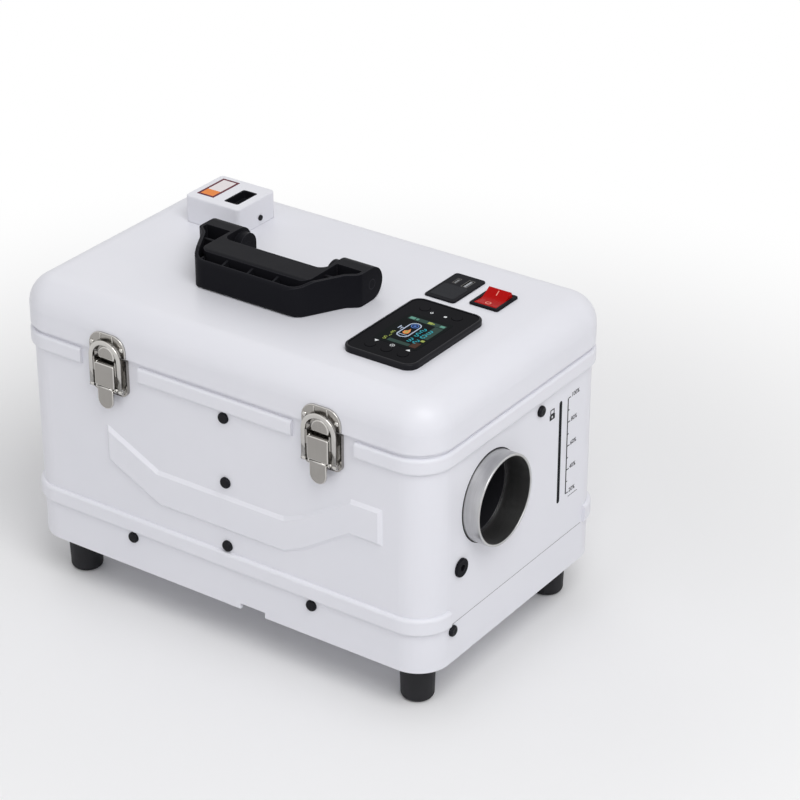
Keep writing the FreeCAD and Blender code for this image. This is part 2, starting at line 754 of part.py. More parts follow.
def gauge_window():
    """Clear bar in the fuel-level slot, with a flange behind the wall."""
    bar = slab(gauge_corners(0), -CASE_WALL, 0)
    flange = slab(gauge_corners(GAUGE_FLANGE), -CASE_WALL - SEAT - GAUGE_WIDTH / 2, -CASE_WALL)
    return against(joined([bar, flange]), "right")


def power_inlet():
    """Round panel socket for the supply lead: flange, barrel and centre pin."""
    flange = post(INLET_FLANGE_RADIUS, 0, 0, 0, INLET_FLANGE)
    flange = flange.makeFillet(INLET_FLANGE / 3, edges_at(flange, INLET_FLANGE))
    barrel = post(INLET_BODY_RADIUS, 0, 0, -INLET_BODY, INLET_FLANGE)
    bore = post(INLET_BORE_RADIUS, 0, 0, -INLET_BODY + INLET_FLANGE, INLET_FLANGE)
    pin = post(INLET_PIN_RADIUS, 0, 0, -INLET_BODY, 0)
    socket = joined([joined([flange, barrel]).cut(bore), pin])
    return against(moved(socket, INLET_Y, SEAM - INLET_DROP), "right")


def sector(radius0, radius1, angle0, angle1, z0, z1):
    """Block bounded by two arcs and two radii about the Z axis."""
    def at(radius, angle):
        return V(radius * math.cos(angle), radius * math.sin(angle), z0)
    middle = (angle0 + angle1) / 2
    edges = [
        Part.Arc(at(radius1, angle0), at(radius1, middle), at(radius1, angle1)).toShape(),
        Part.LineSegment(at(radius1, angle1), at(radius0, angle1)).toShape(),
        Part.Arc(at(radius0, angle1), at(radius0, middle), at(radius0, angle0)).toShape(),
        Part.LineSegment(at(radius0, angle0), at(radius1, angle0)).toShape(),
    ]
    return Part.Face(Part.Wire(edges)).extrude(V(0, 0, z1 - z0))


def intake_grille():
    """Round air-intake grille with two rings of arc slots, opposite the outlet."""
    disc = post(GRILLE_RADIUS, 0, 0, 0, GRILLE_PROUD)
    disc = disc.makeFillet(GRILLE_PROUD / 2, edges_at(disc, GRILLE_PROUD))
    spigot_outer = GRILLE_SLOT_RADIUS + GRILLE_SPIGOT_WALL
    spigot = post(spigot_outer, 0, 0, -GRILLE_SPIGOT, 0).cut(post(GRILLE_SLOT_RADIUS, 0, 0,
                                                                  -GRILLE_SPIGOT, 0))
    step = math.tau / GRILLE_SPOKES
    middle = (GRILLE_HUB_RADIUS + GRILLE_SLOT_RADIUS) / 2
    slots = []
    for inner, outer in ((GRILLE_HUB_RADIUS, middle - GRILLE_RING_WIDTH / 2),
                         (middle + GRILLE_RING_WIDTH / 2, GRILLE_SLOT_RADIUS)):
        half = step / 2 - math.asin(GRILLE_SPOKE / (inner + outer))
        for i in range(GRILLE_SPOKES):
            slots.append(sector(inner, outer, i * step - half, i * step + half, -PAST, GRILLE_PROUD + PAST))
    grille = joined([disc, spigot]).cut(slots)
    return against(moved(grille, -OUTLET_Y, OUTLET_Z), "left")


def top_corners(right, front, length, depth, radius, inset=0.0):
    """Outline of something on the lid, placed from the right and front walls and drawn in by an inset."""
    x1 = HALF_LENGTH - right
    y0 = front - HALF_DEPTH
    return rectangle(x1 - length + inset, x1 - inset, y0 + inset, y0 + depth - inset, radius)


def controller_corners(inset, radius):
    """Outline of the controller, drawn in by an inset."""
    return top_corners(CONTROLLER_RIGHT, CONTROLLER_FRONT, CONTROLLER_LENGTH, CONTROLLER_DEPTH, radius, inset)


def usb_corners(inset, radius):
    """Outline of the socket panel, drawn in by an inset."""
    return top_corners(USB_RIGHT, USB_FRONT, USB_LENGTH, USB_DEPTH, radius, inset)


def switch_body_corners(margin):
    """Outline of the switch body below its bezel, grown by a margin."""
    reach_x = ROCKER_WIDTH / 2 + CLEAR + SWITCH_WALL + margin
    reach_y = ROCKER_SPAN + SWITCH_WALL + margin
    return rectangle(ROCKER_X - reach_x, ROCKER_X + reach_x, ROCKER_Y - reach_y, ROCKER_Y + reach_y)


def lid_shell():
    """Lid with its rounded crown, the seal ledge, cut-outs and the lugs of the filler cover."""
    outer = slab(case_corners(LID_OUTSET), SEAM + LID_PARTING, LID_TOP)
    outer = outer.makeFillet(LID_CROWN, edges_at(outer, LID_TOP))
    inner = slab(case_corners(LID_OUTSET - LID_WALL), SEAM + LID_PARTING, LID_UNDER)
    inner = inner.makeFillet(LID_CROWN - LID_WALL, edges_at(inner, LID_UNDER))
    ledge = wall_ring(LID_OUTSET - LID_WALL / 2, -LID_LEDGE_REACH, SEAL_TOP, SEAL_TOP + LID_LEDGE)
    cuts = [
        slab(controller_corners(CONTROLLER_STEM_INSET - SEAT, CONTROLLER_RIM), LID_UNDER - PAST,
             LID_TOP + PAST),
        slab(usb_corners(USB_BODY_INSET - SEAT, USB_CORNER), LID_UNDER - PAST, LID_TOP + PAST),
        slab(switch_body_corners(SEAT), LID_UNDER - PAST, LID_TOP + PAST),
        post(WELL_RADIUS, FILLER_X, FILLER_Y, LID_UNDER - PAST, LID_TOP + PAST),
    ]
    return joined([outer.cut(inner), ledge] + cover_lugs()).cut(cuts)


def lid_seal():
    """Rubber seal under the lid ledge that rests on the rim of the tub."""
    return wall_ring(-SEAL_INSET, -SEAL_INSET - SEAL_WIDTH, SEAM, SEAL_TOP)


def hinge_ends(x):
    """The two stretches of a hinge that belong to the case."""
    middle = HINGE_MIDDLE / 2 + CLEAR
    half = HINGE_WIDTH / 2
    return ((x - half, x - middle), (x + middle, x + half))


def hinge_case_leaves():
    """Hinge leaves on the back of the tub, each with two knuckles."""
    leaves = []
    web_z = SEAM - HINGE_KNUCKLE_RADIUS
    for x in HINGE_CENTRES:
        half = HINGE_WIDTH / 2
        pieces = [block(x - half, x + half, HALF_DEPTH, HALF_DEPTH + HINGE_SHEET, web_z - HINGE_LEAF,
                        web_z + HINGE_SHEET)]
        for x0, x1 in hinge_ends(x):
            pieces.append(block(x0, x1, HALF_DEPTH, HINGE_Y, web_z, web_z + HINGE_SHEET))
            pieces.append(rod(HINGE_KNUCKLE_RADIUS, x0, x1, HINGE_Y, SEAM))
        bore = rod(HINGE_PIN_RADIUS + PIVOT, x - half, x + half, HINGE_Y, SEAM)
        leaves.append(joined(pieces).cut(bore))
    return Part.makeCompound(leaves)


def hinge_lid_leaves():
    """Hinge leaves on the back of the lid, each with the middle knuckle."""
    leaves = []
    wall = HALF_DEPTH + LID_OUTSET
    foot = SEAM + HINGE_KNUCKLE_RADIUS + CLEAR
    for x in HINGE_CENTRES:
        half = HINGE_WIDTH / 2
        middle = HINGE_MIDDLE / 2
        pieces = [
            block(x - half, x + half, wall, wall + HINGE_SHEET, foot, LID_TOP - LID_CROWN),
            block(x - middle, x + middle, wall, HINGE_Y, foot - CLEAR - HINGE_SHEET, foot + HINGE_SHEET),
            rod(HINGE_KNUCKLE_RADIUS, x - middle, x + middle, HINGE_Y, SEAM),
        ]
        bore = rod(HINGE_PIN_RADIUS + PIVOT, x - half, x + half, HINGE_Y, SEAM)
        leaves.append(joined(pieces).cut(bore))
    return Part.makeCompound(leaves)


def hinge_pins():
    """Pins of the two lid hinges."""
    half = HINGE_WIDTH / 2
    return Part.makeCompound([rod(HINGE_PIN_RADIUS, x - half, x + half, HINGE_Y,
                                  SEAM) for x in HINGE_CENTRES])


def latch_pair(shape):
    """The same latch piece at both latches, drawn upright with its Z outward."""
    return Part.makeCompound([against(moved(shape, x), "front") for x in LATCH_CENTRES])


def latch_base():
    """Latch base: a tray with a folded lip, and two ears for the lever pin."""
    half = LATCH_WIDTH / 2
    top = SEAM - BASE_TOP_DROP
    bottom = SEAM - BASE_BOTTOM_DROP
    tray = slab([(-half, bottom, LATCH_CORNER), (half, bottom, LATCH_CORNER), (half, top, 0), (-half,
                                                                                               top, 0)],
                0, LATCH_LIP)
    inner = half - LATCH_SHEET
    round_in = LATCH_CORNER - LATCH_SHEET
    floor = bottom + LATCH_SHEET
    tray = tray.cut(slab([(-inner, floor, round_in), (inner, floor, round_in), (inner, top + PAST, 0),
                          (-inner, top + PAST, 0)], LATCH_SHEET, LATCH_LIP))
    pivot = SEAM - LEVER_PIVOT_DROP
    ear = LEVER_WIDTH / 2 + CLEAR
    ears = [block(u, u + LATCH_SHEET, pivot - EAR_HEIGHT / 2, pivot + EAR_HEIGHT / 2, 0, EAR_OUT)
            for u in (ear, -ear - LATCH_SHEET)]
    bore = rod(LEVER_PIN_RADIUS + SEAT, -half, half, pivot, LEVER_PIVOT_OUT)
    return joined([tray] + ears).cut(bore)


def latch_pin():
    """Pin that carries the lever between the ears."""
    reach = LEVER_WIDTH / 2 + CLEAR + LATCH_SHEET
    return rod(LEVER_PIN_RADIUS, -reach, reach, SEAM - LEVER_PIVOT_DROP, LEVER_PIVOT_OUT)


def latch_lever():
    """Lever with folded cheeks and a rounded pull tab."""
    half = LEVER_WIDTH / 2
    tab = TAB_WIDTH / 2
    head = SEAM - LEVER_PIVOT_DROP + LEVER_HEAD
    end = SEAM - LEVER_CHEEK_END
    bottom = SEAM - TAB_BOTTOM_DROP
    plate = slab([(half, head, LEVER_HEAD / 2), (half, end, LEVER_HEAD), (tab, end - (half - tab),
                                                                          LEVER_HEAD),
                  (tab, bottom, tab), (-tab, bottom, tab), (-tab, end - (half - tab), LEVER_HEAD),
                  (-half, end, LEVER_HEAD), (-half, head, LEVER_HEAD / 2)],
                 LEVER_FRONT, LEVER_FRONT + LEVER_SHEET)
    back = LEVER_FRONT - LEVER_CHEEK_DEPTH
    cheeks = [block(u, u + LEVER_SHEET, end + LEVER_HEAD, head - LEVER_HEAD / 2, back,
                    LEVER_FRONT + LEVER_SHEET / 2)
              for u in (-half, half - LEVER_SHEET)]
    slot = block(-TAB_SLOT_WIDTH / 2, TAB_SLOT_WIDTH / 2, SEAM - TAB_SLOT_DROP - TAB_SLOT,
                 SEAM - TAB_SLOT_DROP,
                 LEVER_FRONT - PAST, LEVER_FRONT + LEVER_SHEET + PAST)
    pivot = rod(LEVER_PIN_RADIUS + PIVOT, -half, half, SEAM - LEVER_PIVOT_DROP, LEVER_PIVOT_OUT)
    rivet = rod(BAIL_PIN_RADIUS + SEAT, -half, half, SEAM - BAIL_PIVOT_DROP, BAIL_PIVOT_OUT)
    return joined([plate] + cheeks).cut([slot, pivot, rivet])


def bail_pin():
    """Rivet through the lever that carries the bail."""
    return rod(BAIL_PIN_RADIUS, -BAIL_WIDTH / 2, BAIL_WIDTH / 2, SEAM - BAIL_PIVOT_DROP, BAIL_PIVOT_OUT)


def latch_bail():
    """Arched bail whose eyes turn on the rivet, lying just in front of the hook."""
    half = BAIL_WIDTH / 2
    inner = half - BAIL_LEG
    top = SEAM + BAIL_RISE
    foot = SEAM - BAIL_PIVOT_DROP
    back = HOOK_OUT + CLEAR
    arch = slab([(-half, foot, 0), (half, foot, 0), (half, top, BAIL_CROWN), (-half, top, BAIL_CROWN)],
                back, back + BAIL_SHEET)
    crown_in = BAIL_CROWN - BAIL_LEG / 2
    window = slab([(-inner, foot - PAST, 0), (inner, foot - PAST, 0), (inner, top - BAIL_LEG, crown_in),
                   (-inner, top - BAIL_LEG, crown_in)], back, back + BAIL_SHEET)
    eyes = [rod(BAIL_EYE_RADIUS, u, u + BAIL_LEG, foot, BAIL_PIVOT_OUT) for u in (-half, inner)]
    bore = rod(BAIL_PIN_RADIUS + PIVOT, -half, half, foot, BAIL_PIVOT_OUT)
    return joined([arch.cut(window)] + eyes).cut(bore)


def latch_keeper():
    """Keeper plate on the lid with its domed hook, which reaches down past the seam."""
    half = LATCH_WIDTH / 2
    bottom = SEAM + KEEPER_GAP
    top = SEAM + KEEPER_RISE
    plate = slab([(-half, bottom, 0), (half, bottom, 0), (half, top, LATCH_CORNER), (-half, top,
                                                                                     LATCH_CORNER)],
                 LID_OUTSET, LID_OUTSET + LATCH_SHEET)
    reach = HOOK_WIDTH / 2
    hook = slab([(-reach, SEAM - HOOK_DROP, 0), (reach, SEAM - HOOK_DROP, 0), (reach, SEAM + HOOK_RISE,
                                                                               LATCH_CORNER),
                 (-reach, SEAM + HOOK_RISE, LATCH_CORNER)], LID_OUTSET + LATCH_SHEET / 2, HOOK_OUT)
    hook = hook.makeFillet(HOOK_ROUNDING, edges_at(hook, HOOK_OUT))
    return joined([plate, hook])


def across(shape):
    """Turn a shape drawn level so that its X, Y and Z run along Y, Z and X."""
    turned = shape.copy()
    turned.rotate(ORIGIN, V(1, 1, 1), 120)
    return turned


def carry_handle():
    """Moulded handle: two arms with round ends and a ribbed grip with a raised palm bar."""
    front = HANDLE_PIVOT_Y - HANDLE_REACH
    grip = HANDLE_PIVOT_Y - HANDLE_GRIP_BACK
    back = HANDLE_PIVOT_Y + HANDLE_END_RADIUS
    base = LID_TOP + CLEAR
    top = HANDLE_PIVOT_Z + HANDLE_END_RADIUS
    outer = HANDLE_WIDTH / 2
    inner = outer - HANDLE_ARM
    right = [
        (HANDLE_FRONT_WIDTH / 2, front, HANDLE_FRONT_CORNER),
        (HANDLE_SHOULDER_WIDTH / 2, grip, HANDLE_CORNER),
        (outer, grip + HANDLE_CORNER, HANDLE_CORNER),
        (outer, back, 0),
        (inner, back, 0),
        (inner, grip, HANDLE_INNER_CORNER),
    ]
    left = [(-u, y, radius) for u, y, radius in reversed(right)]
    plan = slab(right + left, base, top)
    side = slab([(front, base, HANDLE_SKIN), (front, base + HANDLE_FRONT_HEIGHT, HANDLE_SKIN),
                 (front + HANDLE_SKIN + HANDLE_POCKET, top, HANDLE_CORNER), (back, top, HANDLE_END_RADIUS),
                 (back, base, HANDLE_END_RADIUS)], -outer, outer)
    body = plan.common(across(side))
    floor = base + HANDLE_POCKET_FLOOR
    lining = outline(right + left, floor).makeOffset2D(-HANDLE_SKIN)
    trough = Part.Face(lining).extrude(V(0, 0, top - floor))
    ledge = inner + HANDLE_SKIN
    cell = HANDLE_FRONT_WIDTH / HANDLE_CELLS
    kept = [
        slab([(-ledge, front + HANDLE_POCKET, HANDLE_INNER_CORNER), (ledge, front + HANDLE_POCKET,
                                                                     HANDLE_INNER_CORNER),
              (ledge, back, 0), (-ledge, back, 0)], floor, top),
        block(-outer, outer, grip + HANDLE_ARM_POCKET, back, floor, top),
    ]
    for i in range(HANDLE_CELLS + 1):
        u = (i - HANDLE_CELLS / 2) * cell
        kept.append(block(u - HANDLE_RIB / 2, u + HANDLE_RIB / 2, front, grip, floor, top - HANDLE_RIB_DROP))
    pockets = [trough.cut(kept)]
    bore = rod(HANDLE_PIN_RADIUS + PIVOT, -outer - PAST, outer + PAST, HANDLE_PIVOT_Y, HANDLE_PIVOT_Z)
    return moved(body.cut(pockets + [bore]), HANDLE_X)


def handle_brackets():
    """Lugs on the lid, one inboard of each handle arm."""
    face = HANDLE_WIDTH / 2 - HANDLE_ARM - CLEAR
    top = HANDLE_PIVOT_Z + LUG_RADIUS
    near = HANDLE_PIVOT_Y - LUG_RADIUS
    far = HANDLE_PIVOT_Y + LUG_RADIUS
    profile = [(near, LID_TOP, 0), (far, LID_TOP, 0), (far, top, LUG_RADIUS), (near, top, LUG_RADIUS)]
    base = slab(rectangle(face - LUG_BASE_WIDTH, face, HANDLE_PIVOT_Y - LUG_BASE_DEPTH / 2,
                          HANDLE_PIVOT_Y + LUG_BASE_DEPTH / 2, LUG_BASE), LID_TOP, LID_TOP + LUG_BASE)
    bore = rod(HANDLE_PIN_RADIUS + SEAT, 0, HANDLE_WIDTH, HANDLE_PIVOT_Y, HANDLE_PIVOT_Z)
    right = joined([across(slab(profile, face - LUG_WIDTH, face)), base]).cut(bore)
    left = right.mirror(ORIGIN, X_AXIS)
    return moved(Part.makeCompound([left, right]), HANDLE_X)


def handle_pins():
    """Pivot pins through the lugs and the handle arms."""
    inner = HANDLE_WIDTH / 2 - HANDLE_ARM - CLEAR - LUG_WIDTH
    outer = HANDLE_WIDTH / 2
    return Part.makeCompound([
        rod(HANDLE_PIN_RADIUS, HANDLE_X + x0, HANDLE_X + x1, HANDLE_PIVOT_Y, HANDLE_PIVOT_Z)
        for x0, x1 in ((inner, outer), (-outer, -inner))
    ])


def cover_corners(inset, radius):
    """Outline of the filler cover, drawn in by an inset."""
    half_x = COVER_LENGTH / 2 - inset
    half_y = COVER_DEPTH / 2 - inset
    return rectangle(FILLER_X - half_x, FILLER_X + half_x, FILLER_Y - half_y, FILLER_Y + half_y, radius)


def pull_corners(inset):
    """Outline of the finger pull in the top of the filler cover."""
    x1 = FILLER_X + COVER_LENGTH / 2 - PULL_RIGHT
    y0 = FILLER_Y - COVER_DEPTH / 2 + PULL_FRONT
    return rectangle(x1 - PULL_LENGTH + inset, x1 - inset, y0 + inset, y0 + PULL_DEPTH - inset, PULL_CORNER)


def cover_screw_at(radius, x0, x1):
    """Cylinder on the axis of the small screw in the right side of the filler cover."""
    face = FILLER_X + COVER_LENGTH / 2
    y = FILLER_Y + COVER_DEPTH / 2 - COVER_SCREW_BACK
    return rod(radius, face + x0, face + x1, y, LID_TOP + COVER_SCREW_RISE)


def cover_lugs():
    """Lugs moulded on the lid at both ends of the filler cover's knuckle."""
    inner = COVER_KNUCKLE_LENGTH / 2 + CLEAR
    bore = rod(COVER_PIN_RADIUS + SEAT, FILLER_X - COVER_LENGTH, FILLER_X + COVER_LENGTH, COVER_PIVOT_Y,
               COVER_PIVOT_Z)
    lugs = []
    for x0, x1 in ((-inner - COVER_LUG, -inner), (inner, inner + COVER_LUG)):
        foot = block(FILLER_X + x0, FILLER_X + x1, COVER_PIVOT_Y - COVER_KNUCKLE_RADIUS + CLEAR,
                     COVER_PIVOT_Y + COVER_KNUCKLE_RADIUS, LID_TOP - LID_WALL / 2, COVER_PIVOT_Z)
        eye = rod(COVER_KNUCKLE_RADIUS - CLEAR, FILLER_X + x0, FILLER_X + x1, COVER_PIVOT_Y, COVER_PIVOT_Z)
        lugs.append(joined([foot, eye]).cut(bore))
    return lugs


def filler_cover():
    """Hinged box over the fuel filler."""
    base = LID_TOP + COVER_GAP
    top = LID_TOP + COVER_HEIGHT
    box = slab(cover_corners(0, COVER_CORNER), base, top)
    box = box.makeFillet(COVER_SOFTENING, edges_at(box, top))
    box = box.cut(slab(cover_corners(COVER_WALL, COVER_CORNER - COVER_WALL / 2), base, top - COVER_WALL))
    half = COVER_KNUCKLE_LENGTH / 2
    wall = FILLER_Y + COVER_DEPTH / 2
    web = block(FILLER_X - half, FILLER_X + half, wall - COVER_WALL / 2, COVER_PIVOT_Y,
                COVER_PIVOT_Z - COVER_KNUCKLE_RADIUS / 2, COVER_PIVOT_Z + COVER_KNUCKLE_RADIUS)
    knuckle = rod(COVER_KNUCKLE_RADIUS, FILLER_X - half, FILLER_X + half, COVER_PIVOT_Y, COVER_PIVOT_Z)
    bore = rod(COVER_PIN_RADIUS + PIVOT, FILLER_X - half, FILLER_X + half, COVER_PIVOT_Y, COVER_PIVOT_Z)
    pull = slab(pull_corners(0), top - COVER_WALL - PAST, top + PAST)
    screw = cover_screw_at(COVER_SCREW_RADIUS + SEAT, -COVER_WALL - PAST, PAST)
    return joined([box, web, knuckle]).cut([bore, pull, screw])


def cover_pin():
    """Pin of the filler cover."""
    half = COVER_KNUCKLE_LENGTH / 2 + CLEAR + COVER_LUG
    return rod(COVER_PIN_RADIUS, FILLER_X - half, FILLER_X + half, COVER_PIVOT_Y, COVER_PIVOT_Z)


def cover_pull():
    """Black finger pull sunk in the top of the filler cover."""
    top = LID_TOP + COVER_HEIGHT
    cup = slab(pull_corners(SEAT), top - PULL_SINK, top)
    return cup.cut(slab(pull_corners(PULL_WALL), top - PULL_SINK + PULL_WALL, top))


def cover_screw():
    """Small black screw in the right side of the filler cover."""
    head = cover_screw_at(COVER_SCREW_HEAD_RADIUS, 0, COVER_SCREW_HEAD)
    return joined([head, cover_screw_at(COVER_SCREW_RADIUS, -COVER_WALL, 0)])


def filler_cap():
    """Screw cap on the tank neck, with grip notches round its edge."""
    top = LID_TOP - CAP_TOP_DROP
    crown = top - CAP_CROWN
    cap = post(CAP_RADIUS, 0, 0, crown - CAP_SKIRT, top)
    cap = cap.makeFillet(CAP_GRIP_RADIUS, edges_at(cap, top))
    cap = cap.cut(post(NECK_RADIUS + PIVOT, 0, 0, crown - CAP_SKIRT, crown))
    step = math.tau / CAP_GRIPS
    notches = [post(CAP_GRIP_RADIUS, CAP_RADIUS * math.cos(i * step), CAP_RADIUS * math.sin(i * step),
                    crown - CAP_SKIRT, top) for i in range(CAP_GRIPS)]
    return moved(cap.cut(notches), FILLER_X, FILLER_Y)


def controller_bezel():
    """Controller bezel with its stem through the lid and a seat for the face."""
    top = LID_TOP + CONTROLLER_PROUD
    seat_round = CONTROLLER_CORNER - CONTROLLER_RIM
    under_round = seat_round - CONTROLLER_LEDGE
    stem_base = LID_TOP - CONTROLLER_STEM
    bezel = slab(controller_corners(0, CONTROLLER_CORNER), LID_TOP, top)
    bezel = bezel.makeFillet(CONTROLLER_SOFTENING, edges_at(bezel, top))
    stem = slab(controller_corners(CONTROLLER_STEM_INSET, CONTROLLER_RIM), stem_base, LID_TOP)
    cavity_inset = CONTROLLER_STEM_INSET + CONTROLLER_STEM_WALL
    return joined([bezel, stem]).cut([
        slab(controller_corners(CONTROLLER_RIM, seat_round), FACE_UNDER, top + PAST),
        slab(controller_corners(CONTROLLER_RIM + CONTROLLER_LEDGE, under_round),
             FACE_UNDER - FACE_UNDERCUT, FACE_UNDER),
        slab(controller_corners(cavity_inset, CONTROLLER_RIM), stem_base + CONTROLLER_STEM_WALL, FACE_UNDER),
    ])


def screen_corners(inset):
    """Outline of the display pane."""
    x = HALF_LENGTH - CONTROLLER_RIGHT - CONTROLLER_LENGTH / 2
    y0 = CONTROLLER_FRONT - HALF_DEPTH + SCREEN_FRONT
    half = SCREEN_LENGTH / 2 - inset
    return rectangle(x - half, x + half, y0 + inset, y0 + SCREEN_DEPTH - inset, SCREEN_CORNER)


def key_places():
    """Name and centre of each key on the controller."""
    x = HALF_LENGTH - CONTROLLER_RIGHT - CONTROLLER_LENGTH / 2
    front = CONTROLLER_FRONT - HALF_DEPTH + FRONT_KEYS_INSET
    back = CONTROLLER_FRONT - HALF_DEPTH + CONTROLLER_DEPTH - BACK_KEYS_INSET
    return {
        "key_front_left": (x - KEY_PITCH, front),
        "key_front_middle": (x, front),
        "key_front_right": (x + KEY_PITCH, front),
        "key_back_left": (x - KEY_PITCH, back),
        "key_back_right": (x + KEY_PITCH, back),
    }


def controller_face():
    """Glossy face with holes for the keys and a seat for the display pane."""
    face = slab(controller_corners(CONTROLLER_RIM + SEAT, CONTROLLER_CORNER - CONTROLLER_RIM),
                FACE_UNDER, FACE_TOP)
    cuts = [post(KEY_RADIUS + KEY_GAP, x, y, FACE_UNDER, FACE_TOP) for x, y in key_places().values()]
    cuts.append(slab(screen_corners(-SEAT), FACE_TOP - SCREEN_SINK, FACE_TOP))
    return face.cut(cuts)


def controller_screen():
    """Display pane."""
    base = FACE_TOP - SCREEN_SINK
    return slab(screen_corners(0), base, base + SCREEN_SHEET)


def controller_key(x, y):
    """Round key kept under the face by its flange."""
    top = FACE_TOP + KEY_PROUD
    flange_top = FACE_UNDER - PIVOT
    stem = post(KEY_RADIUS, x, y, flange_top, top)
    stem = stem.makeFillet(KEY_PROUD / 2, edges_at(stem, top))
    return joined([stem, post(KEY_FLANGE_RADIUS, x, y, flange_top - KEY_FLANGE, flange_top)])


def socket_sizes():
    """X, width and length of the narrow and the wide charging socket, and their tongues' sizes."""
    x = HALF_LENGTH - USB_RIGHT - USB_LENGTH / 2
    return (
        (x - USB_SOCKET_PITCH / 2, USB_NARROW, USB_NARROW_LENGTH, TONGUE_NARROW, TONGUE_NARROW_LENGTH),
        (x + USB_SOCKET_PITCH / 2, USB_WIDE, USB_WIDE_LENGTH, TONGUE_WIDE, TONGUE_WIDE_LENGTH),
    )


def centred(x, y, width, length, radius=0.0):
    """Corners of a rectangle about its centre."""
    return rectangle(x - width / 2, x + width / 2, y - length / 2, y + length / 2, radius)


def usb_panel():
    """Panel with a body below it and pockets for the two charging sockets."""
    top = LID_TOP + USB_SHEET
    plate = slab(usb_corners(0, USB_CORNER), LID_TOP, top)
    plate = plate.makeFillet(USB_SHEET / 2, edges_at(plate, top))
    body = slab(usb_corners(USB_BODY_INSET, USB_CORNER), top - USB_BODY - USB_SHEET, LID_TOP)
    pockets = [slab(centred(x, USB_SOCKET_Y, width + 2 * SEAT, length + 2 * SEAT),
                    top - USB_SOCKET_DEPTH, top)
               for x, width, length, tongue, tongue_length in socket_sizes()]
    return joined([plate, body]).cut(pockets)


def usb_sockets():
    """Metal shells of the charging sockets."""
    top = LID_TOP + USB_SHEET
    floor = top - USB_SOCKET_DEPTH
    shells = []
    for x, width, length, tongue, tongue_length in socket_sizes():
        shell = slab(centred(x, USB_SOCKET_Y, width, length), floor, top)
        inner = centred(x, USB_SOCKET_Y, width - 2 * USB_SHELL, length - 2 * USB_SHELL)
        shells.append(shell.cut(slab(inner, floor + USB_SHELL, top)))
    return Part.makeCompound(shells)


def usb_tongues():
    """Contact tongues in the charging sockets."""
    floor = LID_TOP + USB_SHEET - USB_SOCKET_DEPTH + USB_SHELL
    return Part.makeCompound([
        slab(centred(x, USB_SOCKET_Y, tongue, tongue_length), floor, floor + TONGUE_RISE)
        for x, width, length, tongue, tongue_length in socket_sizes()
    ])


def switch_housing():
    """Switch bezel and body with the pocket that the rocker swings in."""
    top = LID_TOP + SWITCH_SHEET
    bezel = slab(top_corners(SWITCH_RIGHT, SWITCH_FRONT, SWITCH_LENGTH, SWITCH_DEPTH, SWITCH_CORNER),
                 LID_TOP, top)
    bezel = bezel.makeFillet(SWITCH_SHEET / 2, edges_at(bezel, top))
    body = slab(switch_body_corners(0), LID_TOP - SWITCH_BODY, LID_TOP)
    reach = ROCKER_WIDTH / 2 + CLEAR
    pocket = block(ROCKER_X - reach, ROCKER_X + reach, ROCKER_Y - ROCKER_SPAN, ROCKER_Y + ROCKER_SPAN,
                   LID_TOP - SWITCH_BODY + SWITCH_WALL, top)
    seat = reach + ROCKER_PIN_REACH + SEAT
    bore = rod(ROCKER_PIN_RADIUS + PIVOT, ROCKER_X - seat, ROCKER_X + seat, ROCKER_Y, ROCKER_Z)
    return joined([bezel, body]).cut([pocket, bore])


def power_rocker():
    """Rocker with a V-shaped top, its front end pressed down."""
    profile = [
        (-ROCKER_HALF, ROCKER_CREST, 1),
        (-ROCKER_HALF, 0, 1),
        (-ROCKER_KEEL_HALF, -ROCKER_KEEL, 1),
        (ROCKER_KEEL_HALF, -ROCKER_KEEL, 1),
        (ROCKER_HALF, 0, 1),
        (ROCKER_HALF, ROCKER_CREST, 1),
        (0, ROCKER_VALLEY, ROCKER_HALF),
    ]
    body = across(slab(profile, -ROCKER_WIDTH / 2, ROCKER_WIDTH / 2))
    reach = ROCKER_WIDTH / 2 + CLEAR + ROCKER_PIN_REACH
    rocker = joined([body, rod(ROCKER_PIN_RADIUS, -reach, reach, 0, 0)])
    rocker.rotate(ORIGIN, X_AXIS, ROCKER_SWING)
    return moved(rocker, ROCKER_X, ROCKER_Y, ROCKER_Z)


def heater_section(inset, x0, x1):
    """Length of the heater's rounded section, drawn in by an inset."""
    half_y = HEATER_WIDTH / 2 - inset
    half_z = HEATER_HEIGHT / 2 - inset
    corners = rectangle(OUTLET_Y - half_y, OUTLET_Y + half_y, OUTLET_Z - half_z, OUTLET_Z + half_z,
                        HEATER_CORNER - inset)
    return across(slab(corners, x0, x1))


def nozzle(inset, x0, x1):
    """Cone from the heater's end to its outlet spigot, drawn in by an inset."""
    start = V(HEATER_X1, OUTLET_Y, OUTLET_Z)
    cone = Part.makeCone(NOZZLE_RADIUS - inset, SPIGOT_RADIUS - inset, NOZZLE_LENGTH, start, X_AXIS)
    neck = rod(NOZZLE_RADIUS - inset, x0, HEATER_X1, OUTLET_Y, OUTLET_Z)
    spigot = rod(SPIGOT_RADIUS - inset, HEATER_X1 + NOZZLE_LENGTH, x1, OUTLET_Y, OUTLET_Z)
    return joined([neck, cone, spigot])


def foot_block_corners(margin):
    """Outline of the heat exchanger's foot, grown by a margin."""
    return centred(EXCHANGER_MIDDLE, OUTLET_Y, FOOT_BLOCK_LENGTH + 2 * margin, FOOT_BLOCK_WIDTH + 2 * margin,
                   FOOT_BLOCK_CORNER)


